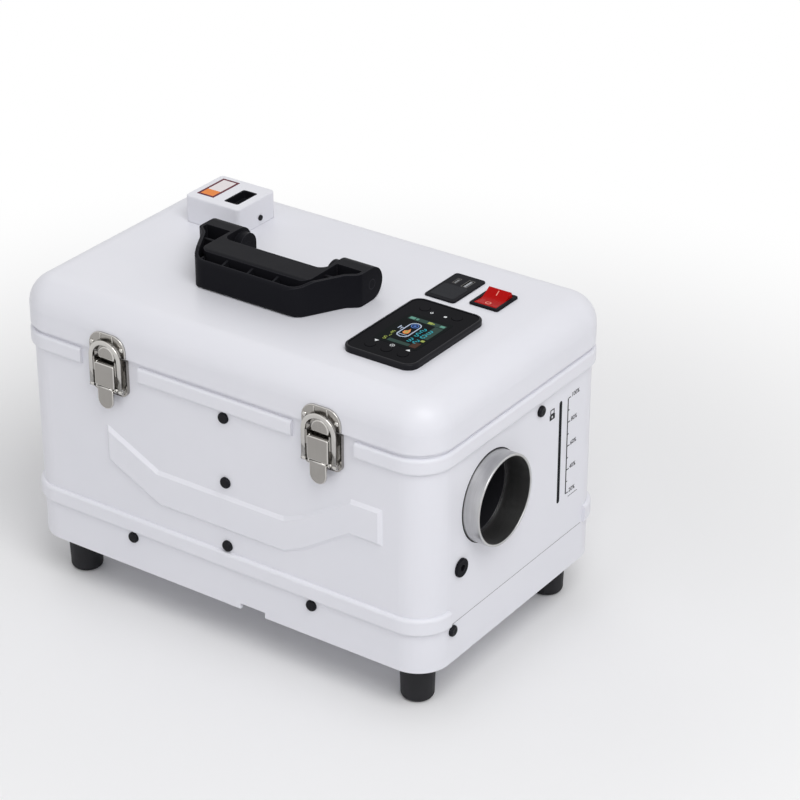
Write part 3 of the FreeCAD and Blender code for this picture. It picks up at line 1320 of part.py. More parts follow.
def heater_shell():
    """Whole plastic shell of the heater, open at the intake end and at the foot."""
    end = HALF_LENGTH - SPIGOT_SETBACK
    wall = HEATER_SHELL
    outer = joined([heater_section(0, HEATER_X0, HEATER_X1), nozzle(0, HEATER_X1 - wall, end)])
    return outer.cut([
        heater_section(wall, HEATER_X0 + wall, HEATER_X1 - wall),
        nozzle(wall, HEATER_X1 - 2 * wall, end + PAST),
        rod(BREATHER_RADIUS, HEATER_X0 - PAST, HEATER_X0 + wall + PAST, OUTLET_Y, OUTLET_Z),
        slab(foot_block_corners(SEAT), HEATER_BASE - PAST, HEATER_BASE + wall + PAST),
    ])


def heater_half(z0, z1):
    """Part of the heater shell between two heights."""
    return heater_shell().common(block(HEATER_X0 - PAST, HALF_LENGTH, -HALF_DEPTH, HALF_DEPTH, z0, z1))


def heater_lower_shell():
    """Lower half of the heater shell."""
    return heater_half(HEATER_BASE - PAST, OUTLET_Z)


def heater_upper_shell():
    """Upper half of the heater shell."""
    return heater_half(OUTLET_Z, OUTLET_Z + HEATER_HEIGHT)


def about_axis(shape, angle):
    """Turn a shape drawn about the X axis and move it onto the heater's axis."""
    turned = shape.copy()
    turned.rotate(ORIGIN, X_AXIS, angle)
    turned.translate(V(0, OUTLET_Y, OUTLET_Z))
    return turned


def heat_exchanger():
    """Finned heat exchanger with its foot and the fuel stub."""
    body = rod(EXCHANGER_RADIUS, EXCHANGER_X0, EXCHANGER_X1, 0, 0)
    dome = [e for e in body.Edges if abs(e.BoundBox.XMin - EXCHANGER_X1) < NEAR]
    body = about_axis(body.makeFillet(EXCHANGER_DOME, dome), 0)
    fin = block(EXCHANGER_X0 + FIN_SETBACK, EXCHANGER_X1 - FIN_SETBACK, -FIN_SHEET / 2, FIN_SHEET / 2,
                EXCHANGER_RADIUS - FIN_SHEET, EXCHANGER_RADIUS + FIN_HEIGHT)
    step = 360 / FIN_COUNT
    fins = [about_axis(fin, (i + 0.5) * step) for i in range(FIN_COUNT)]
    foot = slab(foot_block_corners(0), HEATER_BASE, OUTLET_Z - EXCHANGER_RADIUS / 2)
    stub = post(FUEL_STUB_RADIUS, EXCHANGER_MIDDLE, OUTLET_Y, HEATER_BASE - FUEL_STUB, HEATER_BASE + PAST)
    wall = EXCHANGER_DOME / 2
    chamber = rod(EXCHANGER_RADIUS - wall, EXCHANGER_X0 - PAST, EXCHANGER_X1 - EXCHANGER_DOME, OUTLET_Y,
                  OUTLET_Z)
    seat = post(PLUG_RADIUS + SEAT, EXCHANGER_X0 + PLUG_X, OUTLET_Y, PLUG_BASE,
                OUTLET_Z + EXCHANGER_RADIUS + PAST)
    return joined([body, foot, stub] + fins).cut([chamber, seat])


def glow_plug():
    """Glow plug standing in the top of the heat exchanger."""
    x = EXCHANGER_X0 + PLUG_X
    plug = post(PLUG_RADIUS, x, OUTLET_Y, PLUG_BASE, PLUG_BASE + PLUG_LENGTH)
    return plug.makeFillet(PLUG_RADIUS / 4, edges_at(plug, PLUG_BASE + PLUG_LENGTH))


def heater_gasket():
    """Gasket between the heater and its stand."""
    base = HEATER_BASE - GASKET_SHEET
    holes = [post(radius + SEAT, x, OUTLET_Y, base, HEATER_BASE) for radius, x in pipe_places()]
    holes.append(post(FUEL_STUB_RADIUS + SEAT, EXCHANGER_MIDDLE, OUTLET_Y, base, HEATER_BASE))
    return slab(foot_block_corners(GASKET_MARGIN), base, HEATER_BASE).cut(holes)


def heater_stand():
    """Folded steel bridge that carries the heater on the pan floor."""
    x0 = HEATER_X0 + STAND_LEFT
    x1 = HEATER_X1 - STAND_RIGHT
    top = HEATER_BASE - GASKET_SHEET
    t = STAND_SHEET
    bend = STAND_SHEET
    bridge = slab([
        (x0 - STAND_FOOT, FLOOR_TOP + t, 0), (x0, FLOOR_TOP + t, bend),
        (x0, top, bend + t), (x1, top, bend + t),
        (x1, FLOOR_TOP + t, bend), (x1 + STAND_FOOT, FLOOR_TOP + t, 0),
        (x1 + STAND_FOOT, FLOOR_TOP, 0), (x1 - t, FLOOR_TOP, bend + t),
        (x1 - t, top - t, bend), (x0 + t, top - t, bend),
        (x0 + t, FLOOR_TOP, bend + t), (x0 - STAND_FOOT, FLOOR_TOP, 0),
    ], -STAND_WIDTH / 2, STAND_WIDTH / 2)
    bridge.rotate(ORIGIN, X_AXIS, 90)
    bridge.translate(V(0, OUTLET_Y, 0))
    holes = [post(radius + SEAT, x, OUTLET_Y, top - t, top) for radius, x in pipe_places()]
    holes.append(post(FUEL_STUB_RADIUS + SEAT, EXCHANGER_MIDDLE, OUTLET_Y, top - t, top))
    return bridge.cut(holes)


def heater_pipe(radius, x):
    """Straight pipe from the heater's foot down through the pan floor, with a slightly wider tail."""
    shoulder = FLOOR_UNDER - PIPE_SHOULDER
    tube = joined([
        post(radius, x, OUTLET_Y, PIPE_TAIL, shoulder),
        post(radius - PIPE_STEP, x, OUTLET_Y, shoulder, HEATER_BASE),
    ])
    return tube.cut(post(radius - PIPE_WALL, x, OUTLET_Y, PIPE_TAIL, HEATER_BASE))


def blower_housing():
    """Housing of the combustion fan, on the end of the heat exchanger."""
    outer = rod(BLOWER_RADIUS, BLOWER_X0, EXCHANGER_X0, OUTLET_Y, OUTLET_Z)
    inner = rod(BLOWER_RADIUS - BLOWER_WALL, BLOWER_X0 + BLOWER_WALL, EXCHANGER_X0 - BLOWER_WALL,
                OUTLET_Y, OUTLET_Z)
    port = rod(EXCHANGER_RADIUS / 2, EXCHANGER_X0 - BLOWER_WALL, EXCHANGER_X0, OUTLET_Y, OUTLET_Z)
    hole = rod(SHAFT_RADIUS + SHAFT_HOLE_GAP, BLOWER_X0, BLOWER_X0 + BLOWER_WALL, OUTLET_Y, OUTLET_Z)
    return outer.cut([inner, port, hole])


def blower_motor():
    """Motor can between the two fans."""
    can = rod(MOTOR_RADIUS, MOTOR_X0, BLOWER_X0, OUTLET_Y, OUTLET_Z)
    return can.cut(rod(SHAFT_RADIUS + PIVOT, MOTOR_X0, BLOWER_X0, OUTLET_Y, OUTLET_Z))


def blower_shaft():
    """Shaft through the motor that carries both fans."""
    end = IMPELLER_X0 + IMPELLER_DISC + IMPELLER_VANE
    return rod(SHAFT_RADIUS, FAN_X0, end, OUTLET_Y, OUTLET_Z)


def blade_section(radius, angle):
    """Section of a fan blade at one radius, turned to its pitch."""
    half = FAN_LENGTH / 2 / math.cos(math.radians(angle))
    points = [V(-half, -FAN_SHEET / 2, radius), V(half, -FAN_SHEET / 2, radius), V(half, FAN_SHEET / 2,
                                                                                   radius),
              V(-half, FAN_SHEET / 2, radius)]
    wire = Part.makePolygon(points + points[:1])
    wire.rotate(V(0, 0, radius), Z_AXIS, angle)
    return wire


def hot_air_fan():
    """Axial fan with twisted blades on a hub with a rounded nose."""
    hub = rod(FAN_HUB_RADIUS, FAN_X0, FAN_X1, 0, 0)
    nose = [e for e in hub.Edges if abs(e.BoundBox.XMax - FAN_X0) < NEAR]
    hub = hub.makeFillet(FAN_LENGTH / 4, nose)
    root = FAN_HUB_RADIUS - FAN_SHEET
    blade = Part.makeLoft([blade_section(root, FAN_TWIST), blade_section((root + FAN_RADIUS) / 2,
                                                                         FAN_MIDDLE_TWIST),
                           blade_section(FAN_RADIUS, FAN_TIP_TWIST)], True, True)
    band = rod(FAN_RADIUS, FAN_X0 + FAN_SHEET, FAN_X1 - FAN_SHEET, 0, 0)
    blade = moved(blade, (FAN_X0 + FAN_X1) / 2).common(band)
    blades = []
    for i in range(FAN_BLADES):
        turned = blade.copy()
        turned.rotate(ORIGIN, X_AXIS, i * 360 / FAN_BLADES)
        blades.append(turned)
    fan = joined([hub] + blades).cut(rod(SHAFT_RADIUS + SEAT, FAN_X0, FAN_X1, 0, 0))
    return about_axis(fan, 0)


def combustion_fan():
    """Combustion-air impeller: a disc with radial vanes."""
    face = IMPELLER_X0 + IMPELLER_DISC
    disc = rod(IMPELLER_RADIUS, IMPELLER_X0, face, 0, 0)
    hub = rod(SHAFT_RADIUS * 2, IMPELLER_X0, face + IMPELLER_VANE, 0, 0)
    vane = block(face - IMPELLER_DISC / 2, face + IMPELLER_VANE, -IMPELLER_SHEET / 2, IMPELLER_SHEET / 2,
                 SHAFT_RADIUS * 3, IMPELLER_RADIUS - IMPELLER_SHEET)
    vanes = []
    for i in range(IMPELLER_VANES):
        turned = vane.copy()
        turned.rotate(ORIGIN, X_AXIS, i * 360 / IMPELLER_VANES)
        vanes.append(turned)
    bore = rod(SHAFT_RADIUS + SEAT, IMPELLER_X0, face + IMPELLER_VANE, 0, 0)
    return about_axis(joined([disc, hub] + vanes).cut(bore), 0)


def control_unit():
    """Control unit that straddles the motor."""
    base = OUTLET_Z + MOTOR_RADIUS - UNIT_SINK
    x = (MOTOR_X0 + BLOWER_X0) / 2
    unit = slab(centred(x, OUTLET_Y, UNIT_LENGTH, UNIT_WIDTH, UNIT_SINK), base, base + UNIT_HEIGHT)
    return unit.cut(rod(MOTOR_RADIUS + SEAT, MOTOR_X0, BLOWER_X0, OUTLET_Y, OUTLET_Z))


def fuel_tank():
    """Blow-moulded tank behind the heater, with moulded feet, the filler neck and the outlet nipple."""
    reach = HALF_LENGTH - LINING - TANK_END_GAP
    base = FLOOR_TOP + TANK_RISE
    corners = rectangle(-reach, reach, TANK_Y0, TANK_Y1, TANK_CORNER)
    tank = slab(corners, base, TANK_TOP)
    tank = tank.makeFillet(TANK_WALL, edges_at(tank, TANK_TOP) + edges_at(tank, base))
    wall = TANK_WALL
    inner = slab(rectangle(wall - reach, reach - wall, TANK_Y0 + wall, TANK_Y1 - wall, TANK_CORNER - wall),
                 base + wall, TANK_TOP - wall)
    feet = [slab(centred(x, (TANK_Y0 + TANK_Y1) / 2, TANK_FOOT, TANK_DEPTH - 2 * TANK_CORNER, TANK_WALL),
                 FLOOR_TOP, base + wall / 2) for x in (-reach / 2, reach / 2)]
    neck = post(NECK_RADIUS, FILLER_X, FILLER_Y, TANK_TOP - wall / 2, NECK_TOP)
    throat = post(NECK_RADIUS - NECK_WALL, FILLER_X, FILLER_Y, TANK_TOP - wall - PAST, NECK_TOP)
    nipple = Part.makeCylinder(NIPPLE_RADIUS, NIPPLE + wall, V(FILTER_X, TANK_Y0 - NIPPLE, PUMP_Z), Y_AXIS)
    bore = Part.makeCylinder(NIPPLE_RADIUS / 2, NIPPLE + 2 * wall, V(FILTER_X, TANK_Y0 - NIPPLE,
                                                                     PUMP_Z), Y_AXIS)
    return joined([tank, neck, nipple] + feet).cut([inner, throat, bore])


def tank_brackets():
    """Angle brackets behind the upper side screws that hold the tank down."""
    wall = HALF_LENGTH - CASE_WALL
    y0 = TANK_SCREW_Y - BRACKET_WIDTH / 2
    y1 = TANK_SCREW_Y + BRACKET_WIDTH / 2
    bottom = SEAM - TANK_SCREW_DROP - BRACKET_DROP / 2
    top = TANK_TOP + BRACKET_SHEET
    angle = slab([(wall, bottom, 0), (wall, top, BRACKET_SHEET * 2), (wall - BRACKET_REACH, top, 0),
                  (wall - BRACKET_REACH, TANK_TOP, 0), (wall - BRACKET_SHEET, TANK_TOP, BRACKET_SHEET),
                  (wall - BRACKET_SHEET, bottom, 0)], -y1, -y0)
    angle.rotate(ORIGIN, X_AXIS, 90)
    pair = [angle.cut(screw_holes()), angle.mirror(ORIGIN, X_AXIS).cut(screw_holes())]
    return Part.makeCompound(pair)


def fuel_pump():
    """Dosing pump with a nipple at each end."""
    body = rod(PUMP_RADIUS, PUMP_LEFT, PUMP_RIGHT, PUMP_Y, PUMP_Z)
    body = body.makeFillet(PUMP_RADIUS / 4, [e for e in body.Edges if e.BoundBox.XLength < NEAR])
    nipples = rod(NIPPLE_RADIUS, PUMP_LEFT - NIPPLE, PUMP_RIGHT + NIPPLE, PUMP_Y, PUMP_Z)
    return joined([body, nipples])


def pump_clamp():
    """Clamp ring and foot that hold the pump on the pan floor."""
    x0 = (PUMP_LEFT + PUMP_RIGHT - CLAMP_WIDTH) / 2
    x1 = x0 + CLAMP_WIDTH
    reach = PUMP_RADIUS + SEAT + CLAMP_SHEET
    ring = rod(reach, x0, x1, PUMP_Y, PUMP_Z)
    leg = block(x0, x1, PUMP_Y - reach / 2, PUMP_Y + reach / 2, FLOOR_TOP, PUMP_Z)
    foot = slab(rectangle(x0, x1, PUMP_Y - reach, PUMP_Y + reach, CLAMP_SHEET), FLOOR_TOP,
                FLOOR_TOP + CLAMP_SHEET)
    return joined([ring, leg, foot]).cut(rod(PUMP_RADIUS + SEAT, x0, x1, PUMP_Y, PUMP_Z))


def fuel_filter():
    """In-line fuel filter with a nipple at each end."""
    body = Part.makeCylinder(FILTER_RADIUS, FILTER_LENGTH, V(FILTER_X, FILTER_Y0, PUMP_Z), Y_AXIS)
    body = body.makeFillet(FILTER_RADIUS / 4, [e for e in body.Edges if e.BoundBox.YLength < NEAR])
    nipples = Part.makeCylinder(NIPPLE_RADIUS, FILTER_LENGTH + 2 * NIPPLE,
                                V(FILTER_X, FILTER_Y0 - NIPPLE, PUMP_Z), Y_AXIS)
    return joined([body, nipples])


def hose_along(points):
    """Hose along straight runs with equal bends, pushed over the nipples at its ends."""
    edges = []
    start = points[0]
    for here, following in zip(points[1:-1], points[2:]):
        before = (start - here).normalize()
        after = (following - here).normalize()
        enter = here + before * HOSE_BEND
        leave = here + after * HOSE_BEND
        middle = here + (before + after) * (HOSE_BEND * (1 - math.sqrt(0.5)))
        edges.append(Part.LineSegment(start, enter).toShape())
        edges.append(Part.Arc(enter, middle, leave).toShape())
        start = leave
    edges.append(Part.LineSegment(start, points[-1]).toShape())
    path = Part.Wire(edges)
    heading = points[1] - points[0]
    skins = []
    for radius in (HOSE_RADIUS, NIPPLE_RADIUS + SEAT):
        ring = Part.Wire([Part.Circle(points[0], heading, radius).toShape()])
        skins.append(path.makePipeShell([ring], True, False))
    return skins[0].cut(skins[1])


def fuel_hoses():
    """Hoses from the tank to the filter, on to the pump and up to the heater."""
    filter_end = FILTER_Y0 + FILTER_LENGTH
    stand_under = HEATER_BASE - GASKET_SHEET - STAND_SHEET - SEAT
    return Part.makeCompound([
        hose_along([V(FILTER_X, TANK_Y0, PUMP_Z), V(FILTER_X, filter_end, PUMP_Z)]),
        hose_along([V(FILTER_X, FILTER_Y0, PUMP_Z), V(FILTER_X, PUMP_Y, PUMP_Z), V(PUMP_LEFT, PUMP_Y,
                                                                                   PUMP_Z)]),
        hose_along([V(PUMP_RIGHT, PUMP_Y, PUMP_Z), V(EXCHANGER_MIDDLE, PUMP_Y, PUMP_Z),
                    V(EXCHANGER_MIDDLE, OUTLET_Y, PUMP_Z), V(EXCHANGER_MIDDLE, OUTLET_Y, stand_under)]),
    ])


def latch_at(shape, x):
    """One latch piece at one latch."""
    return against(moved(shape, x), "front")


def pieces():
    """Every piece of the heater under its name."""
    left, right = LATCH_CENTRES
    exhaust, air = pipe_places()
    named = {
        "bottom_pan": bottom_pan(),
        "case_tub": case_tub(),
        "rubber_feet": rubber_feet(),
        "foot_screws": foot_screws(),
        "case_screws": case_screws(),
        "front_brace": front_brace(),
        "outlet_collar": outlet_collar(),
        "gauge_window": gauge_window(),
        "power_inlet": power_inlet(),
        "intake_grille": intake_grille(),
        "hinge_case_leaves": Part.makeCompound([hinge_case_leaves(), hinge_pins()]),
        "hinge_lid_leaves": hinge_lid_leaves(),
        "lid_shell": lid_shell(),
        "lid_seal": lid_seal(),
        "latch_bases": latch_pair(Part.makeCompound([latch_base(), latch_pin()])),
        "latch_keepers": latch_pair(latch_keeper()),
        "latch_lever_left": latch_at(Part.makeCompound([latch_lever(), bail_pin()]), left),
        "latch_lever_right": latch_at(Part.makeCompound([latch_lever(), bail_pin()]), right),
        "latch_bail_left": latch_at(latch_bail(), left),
        "latch_bail_right": latch_at(latch_bail(), right),
        "carry_handle": carry_handle(),
        "handle_brackets": Part.makeCompound([handle_brackets(), handle_pins()]),
        "filler_cover": filler_cover(),
        "filler_cover_pin": cover_pin(),
        "filler_cover_pull": cover_pull(),
        "filler_cover_screw": cover_screw(),
        "filler_cap": filler_cap(),
        "controller_bezel": controller_bezel(),
        "controller_face": controller_face(),
        "controller_screen": controller_screen(),
        "usb_panel": usb_panel(),
        "usb_sockets": usb_sockets(),
        "usb_tongues": usb_tongues(),
        "switch_housing": switch_housing(),
        "power_rocker": power_rocker(),
        "heater_lower_shell": heater_lower_shell(),
        "heater_upper_shell": heater_upper_shell(),
        "heat_exchanger": heat_exchanger(),
        "glow_plug": glow_plug(),
        "heater_gasket": heater_gasket(),
        "heater_stand": heater_stand(),
        "exhaust_pipe": heater_pipe(*exhaust),
        "combustion_air_pipe": heater_pipe(*air),
        "blower_housing": blower_housing(),
        "blower_motor": blower_motor(),
        "blower_shaft": blower_shaft(),
        "hot_air_fan": hot_air_fan(),
        "combustion_fan": combustion_fan(),
        "control_unit": control_unit(),
        "fuel_tank": fuel_tank(),
        "tank_brackets": tank_brackets(),
        "fuel_pump": fuel_pump(),
        "pump_clamp": pump_clamp(),
        "fuel_filter": fuel_filter(),
        "fuel_hoses": fuel_hoses(),
    }
    for name, (x, y) in key_places().items():
        named[name] = controller_key(x, y)
    return named


def main():
    """Build every piece about the origin and write it."""
    os.makedirs("parts", exist_ok=True)
    for name, shape in pieces().items():
        moved(shape, -ORIGIN_X, -ORIGIN_Y).exportStep("parts/" + name + ".step")


if __name__ == "__main__":
    main()
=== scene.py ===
"""Carry-case air heater: finishes, printed marks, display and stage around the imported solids."""

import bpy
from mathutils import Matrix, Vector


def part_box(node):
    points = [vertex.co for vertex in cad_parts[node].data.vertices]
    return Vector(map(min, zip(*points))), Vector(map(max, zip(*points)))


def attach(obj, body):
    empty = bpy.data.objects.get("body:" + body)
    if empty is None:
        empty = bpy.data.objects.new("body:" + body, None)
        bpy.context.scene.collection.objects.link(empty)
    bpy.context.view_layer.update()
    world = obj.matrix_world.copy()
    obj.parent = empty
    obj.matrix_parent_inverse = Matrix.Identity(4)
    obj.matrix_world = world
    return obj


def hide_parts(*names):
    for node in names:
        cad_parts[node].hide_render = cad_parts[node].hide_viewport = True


bl_info = {
    "name": "Carry-case air heater",
    "version": (1, 0, 0),
    "blender": (4, 5, 0),
    "location": "View3D > Sidebar > Heater",
    "description": "Finishes, printed marks, display and stage for the packed air heater",
    "category": "Object",
}

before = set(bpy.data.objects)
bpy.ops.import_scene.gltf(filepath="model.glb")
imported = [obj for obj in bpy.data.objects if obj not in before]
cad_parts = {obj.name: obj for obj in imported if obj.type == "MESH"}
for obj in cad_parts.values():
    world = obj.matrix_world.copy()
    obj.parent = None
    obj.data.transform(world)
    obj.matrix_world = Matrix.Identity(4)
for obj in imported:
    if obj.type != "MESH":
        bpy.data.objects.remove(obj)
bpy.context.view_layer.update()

import math

import bmesh
import bpy
from bpy.props import FloatProperty, FloatVectorProperty, PointerProperty
from mathutils import Matrix, Vector

MM = 0.001
RIGHT = Vector((1.0, 0.0, 0.0))
UP = Vector((0.0, 0.0, 1.0))
WHITE = (1.0, 1.0, 1.0, 1.0)
EVEN = (1.0, 1.0, 1.0)

# How finely round forms are divided
OUTLET_STEPS, ROUND_STEPS, PIN_STEPS, RIVET_STEPS = 96, 40, 24, 20
DOT_STEPS, FINE_STEPS, CORNER_STEPS, EDGE_STEPS = 16, 12, 6, 4


# Settings


def mm(*sizes):
    """Millimetres in metres."""
    return [size * MM for size in sizes]


def paint(name, description, default):
    """A linear colour that a user would change."""
    return FloatVectorProperty(name=name, description=description, default=default, size=3,
                               min=0.0, max=1.0, subtype="COLOR")


def length(name, description, millimetres):
    """A length that a user would change."""
    return FloatProperty(name=name, description=description, default=millimetres * MM, min=0.0,
                         unit="LENGTH")


def lamp_power(name, description, watts):
    return FloatProperty(name=name, description=description, default=watts, min=0.0,
                         subtype="POWER")


class HEATER_PG_finishes(bpy.types.PropertyGroup):
    """Colours and gloss of the moulded, metal and rubber pieces."""

    case_white: paint("Case white", "Main colour of the case", (0.775, 0.775, 0.825))
    case_shade: paint("Case shade", "Slow tint over the case", (0.745, 0.75, 0.805))
    case_gloss: FloatProperty(name="Case roughness", description="Roughness of the case",
                              default=0.42, min=0.0, max=1.0, subtype="FACTOR")
    black: paint("Moulded black", "Handle, bezels and sockets", (0.0088, 0.0088, 0.0120))
    black_dust: paint("Black bloom", "Bloom on black mouldings", (0.0125, 0.0127, 0.0148))
    # Paler black laid along the edges of black mouldings: a painted highlight
    black_edge_highlight: paint("Edge highlight black", "Edges of black mouldings", (0.040, 0.040, 0.047))
    gloss_black: paint("Gloss black", "Face of the controller", (0.0035, 0.0036, 0.0044))
    pane: paint("Display pane", "Dark glass of the display", (0.004, 0.005, 0.006))
    pane_glow: paint("Pane glow", "Faint light in the pane", (0.006, 0.009, 0.009))
    rubber: paint("Rubber", "Feet, seal and hoses", (0.014, 0.0135, 0.0165))
    nickel: paint("Nickel", "Plated latches", (0.37, 0.355, 0.335))
    # Paler nickel on the latches' rounded edges, bails and rivets: a painted highlight
    highlight_nickel: paint("Highlight nickel", "Rounded edges of the latches", (0.60, 0.585, 0.56))
    steel: paint("Steel", "Hinges, brackets and pump", (0.56, 0.56, 0.57))
    aluminium: paint("Aluminium", "Outlet collar and heat exchanger", (0.74, 0.74, 0.74))
    red: paint("Rocker red", "Translucent rocker", (0.49, 0.005, 0.0045))
    tongue: paint("Socket tongue", "Tongues in the sockets", (0.30, 0.31, 0.33))
    tank: paint("Tank", "Plastic of the fuel tank", (0.70, 0.67, 0.56))


class HEATER_PG_marks(bpy.types.PropertyGroup):
    """Printed marks, label and display."""

    ink: paint("Ink", "Scale and pictogram", (0.012, 0.012, 0.014))
    white_ink: paint("White ink", "Marks by the keys", (0.82, 0.84, 0.86))
    pale_red_ink: paint("Pale red ink", "Marks on the rocker", (0.90, 0.33, 0.26))
    dull: paint("Dull field", "Blank field by the sockets", (0.020, 0.021, 0.025))
    label_border: paint("Label border", "Frame of the label", (0.115, 0.008, 0.022))
    label_block: paint("Label block", "Coloured end of the label", (0.86, 0.26, 0.05))
    label_paper: paint("Label paper", "Plain field of the label", (0.84, 0.79, 0.80))
    digits: paint("Digits", "Large figures", (0.05, 0.62, 0.75))
    small_digits: paint("Small figures", "Small figures", (0.62, 0.74, 0.16))
    outline: paint("Outline", "Heater on the display", (0.62, 0.72, 0.90))
    flame: paint("Flame", "Flame on the display", (0.95, 0.33, 0.10))
    fan: paint("Fan", "Fan on the display", (0.10, 0.22, 0.62))
    status: paint("Status", "Status signs on the display", (0.16, 0.42, 0.33))
    joint: paint("Joint line", "Shade between pan and tub", (0.26, 0.26, 0.28))
    recess: paint("Recess", "Shade in the drive of a screw", (0.0022, 0.0022, 0.0026))
    outlet: length("Outlet radius", "Outside radius of the collar", 37.5)
    relief: length("Ink relief", "Thickness of a printed mark", 0.12)


class HEATER_PG_latch(bpy.types.PropertyGroup):
    """Sizes of the toggle latches."""

    width: length("Bail width", "Width over the bail's legs", 32.6)
    leg: length("Leg width", "Width of the bail's band", 4.1)
    band: length("Band depth", "Depth of the bail's band", 1.8)
    lever_width: length("Lever width", "Width over the lever's cheeks", 19.8)
    lever_sheet: length("Lever sheet", "Thickness of the lever", 1.4)
    tab_width: length("Tab width", "Width of the pull tab", 15.6)
    tab_drop: length("Tab drop", "From the lever's top to the tab", 20.6)
    plate_width: length("Plate width", "Width of the keeper plate", 36.6)
    sheet: length("Keeper sheet", "Thickness of the keeper plate", 1.5)
    shoulder: length("Shoulder radius", "Radius of its upper corners", 12.5)
    hook_width: length("Hook width", "Width of the domed hook", 17.4)
    hook_height: length("Hook height", "Height of the domed hook", 11.6)
    rivet: length("Rivet radius", "Radius of a rivet head", 2.1)


class HEATER_PG_stage(bpy.types.PropertyGroup):
    """Floor, light and camera."""

    floor: paint("Floor", "Pale floor", (0.90, 0.90, 0.91))
    near: length("Shadow reach", "Floor that shows its shade", 300.0)
    far: length("White reach", "Where the floor is white", 850.0)
    sky: FloatProperty(name="Sky", description="Strength of the even light", default=0.55,
                       min=0.0)
    key: lamp_power("Key light", "Lamp at the right", 28.0)
    fill: lamp_power("Fill light", "Lamp at the back left", 3.0)
    front: lamp_power("Front light", "Lamp at the front left", 2.0)
    lens: FloatProperty(name="Lens", description="Focal length", default=124.1, min=1.0,
                        unit="CAMERA")
    eye: FloatVectorProperty(name="Camera", description="Camera position", size=3,
                             default=(1.18405, -1.58010, 1.23120), subtype="TRANSLATION",
                             unit="LENGTH")


# Shader sockets


class Signal:
    """A shader socket: operators add Math nodes, node() adds any other node."""

    def __init__(self, tree, socket=None):
        self.tree = tree
        self.socket = socket

    def node(self, kind, settings=None, sockets=None, output=0):
        """Add a node: its settings first, then the values or links of its sockets."""
        made = self.tree.nodes.new(kind)
        for name, value in (settings or {}).items():
            setattr(made, name, value)
        for name, value in (sockets or {}).items():
            entry = made.inputs[name]
            if isinstance(value, Signal):
                self.tree.links.new(value.socket, entry)
            else:
                entry.default_value = value
        return Signal(self.tree, made.outputs[output] if made.outputs else None)

    def math(self, operation, first, second):
        return self.node("ShaderNodeMath", {"operation": operation}, {0: first, 1: second})

    def __add__(self, other):
        return self.math("ADD", self, other)

    __radd__ = __add__

    def __sub__(self, other):
        return self.math("SUBTRACT", self, other)

    def __rsub__(self, other):
        return self.math("SUBTRACT", other, self)

    def __mul__(self, other):
        return self.math("MULTIPLY", self, other)

    __rmul__ = __mul__

    def mix(self, first, second):
        """This value as the share of the second colour."""
        colours = {0: self, 6: first, 7: second}
        return self.node("ShaderNodeMix", {"data_type": "RGBA"}, colours, 2)

    def vector(self, operation, first, second=EVEN, output=0):
        return self.node(
            "ShaderNodeVectorMath", {"operation": operation}, {0: first, 1: second}, output)

    def place(self, stretch=EVEN):
        """Point on the object in metres, stretched along each axis."""
        return self.vector("MULTIPLY", self.node("ShaderNodeTexCoord", output="Object"), stretch)

    def noise(self, scale, detail=2.0, stretch=EVEN):
        """Cloudy values between 0 and 1."""
        return self.node("ShaderNodeTexNoise", {}, {
            "Vector": self.place(stretch), "Scale": scale, "Detail": detail, "Roughness": 0.55})

    def seen(self):
        """1 where the camera, a mirror or clear glass looks, 0 for light on the object."""
        rays = [self.node("ShaderNodeLightPath", output=name)
                for name in ("Is Camera Ray", "Is Glossy Ray", "Is Transmission Ray")]
        return self.math("MAXIMUM", self.math("MAXIMUM", rays[0], rays[1]), rays[2])

    def relief(self, height, depth):
        """Normal bumped by a height, its full swing as deep as depth."""
        return self.node("ShaderNodeBump", {}, {"Height": height, "Distance": depth})

    def edges(self, reach):
        """0 on flats and towards 1 on edges, over a reach."""
        bent = self.node("ShaderNodeBevel", {"samples": 6}, {"Radius": reach})
        flat = self.node("ShaderNodeNewGeometry", output="Normal")
        return 1.0 - self.vector("DOT_PRODUCT", bent, flat, "Value")


# Finishes

BLOOM_SCALE, HANDLING_SCALE, HANDLING_DETAIL, METAL_DETAIL = 14.0, 55.0, 4.0, 3.0
INK_SPECK_SCALE, DISPLAY_DOT_SCALE = 900.0, 1600.0
GLOSS_SWING, COAT_ROUGHNESS = 0.14, 0.06
# Reach and strength of the painted highlight along edges
HIGHLIGHT_REACH, HIGHLIGHT_GAIN = 1.0 * MM, 4.0


def opaque(colour):
    return (*colour, 1.0)


def shaded(colour, share):
    return tuple(share * part for part in colour)


def new_finish(name):
    """An empty material and the signal that adds nodes to it."""
    material = bpy.data.materials.new(name)
    material.use_nodes = True
    material.node_tree.nodes.clear()
    return material, Signal(material.node_tree)


def close_finish(tree, sockets):
    shader = tree.node("ShaderNodeBsdfPrincipled", {}, sockets)
    tree.node("ShaderNodeOutputMaterial", {}, {"Surface": shader})


def moulded(name, colour, bloom, roughness, grain, depth, coat=0.0, mirror=0.5, edge_highlight=None):
    """Plastic or rubber with grain, its depth in millimetres, slow bloom and uneven gloss.

    The mirror says how strongly it reflects; the last argument is a paler colour laid along the
    edges as a painted highlight.
    """
    material, tree = new_finish(name)
    drift = tree.noise(BLOOM_SCALE)
    handled = tree.noise(HANDLING_SCALE, HANDLING_DETAIL)
    base = drift.mix(opaque(colour), opaque(bloom))
    # Paler colour along the edges, varied by the handling noise: a painted highlight
    if edge_highlight:
        painted_highlight = HIGHLIGHT_GAIN * tree.edges(HIGHLIGHT_REACH) * (0.5 + handled)
        base = painted_highlight.mix(base, opaque(edge_highlight))
    close_finish(tree, {
        "Base Color": base,
        "Roughness": roughness + GLOSS_SWING * (handled - 0.5),
        "Specular IOR Level": mirror,
        "Coat Weight": coat,
        "Coat Roughness": COAT_ROUGHNESS,
        "Normal": tree.relief(tree.noise(grain), depth * MM),
    })
    return material


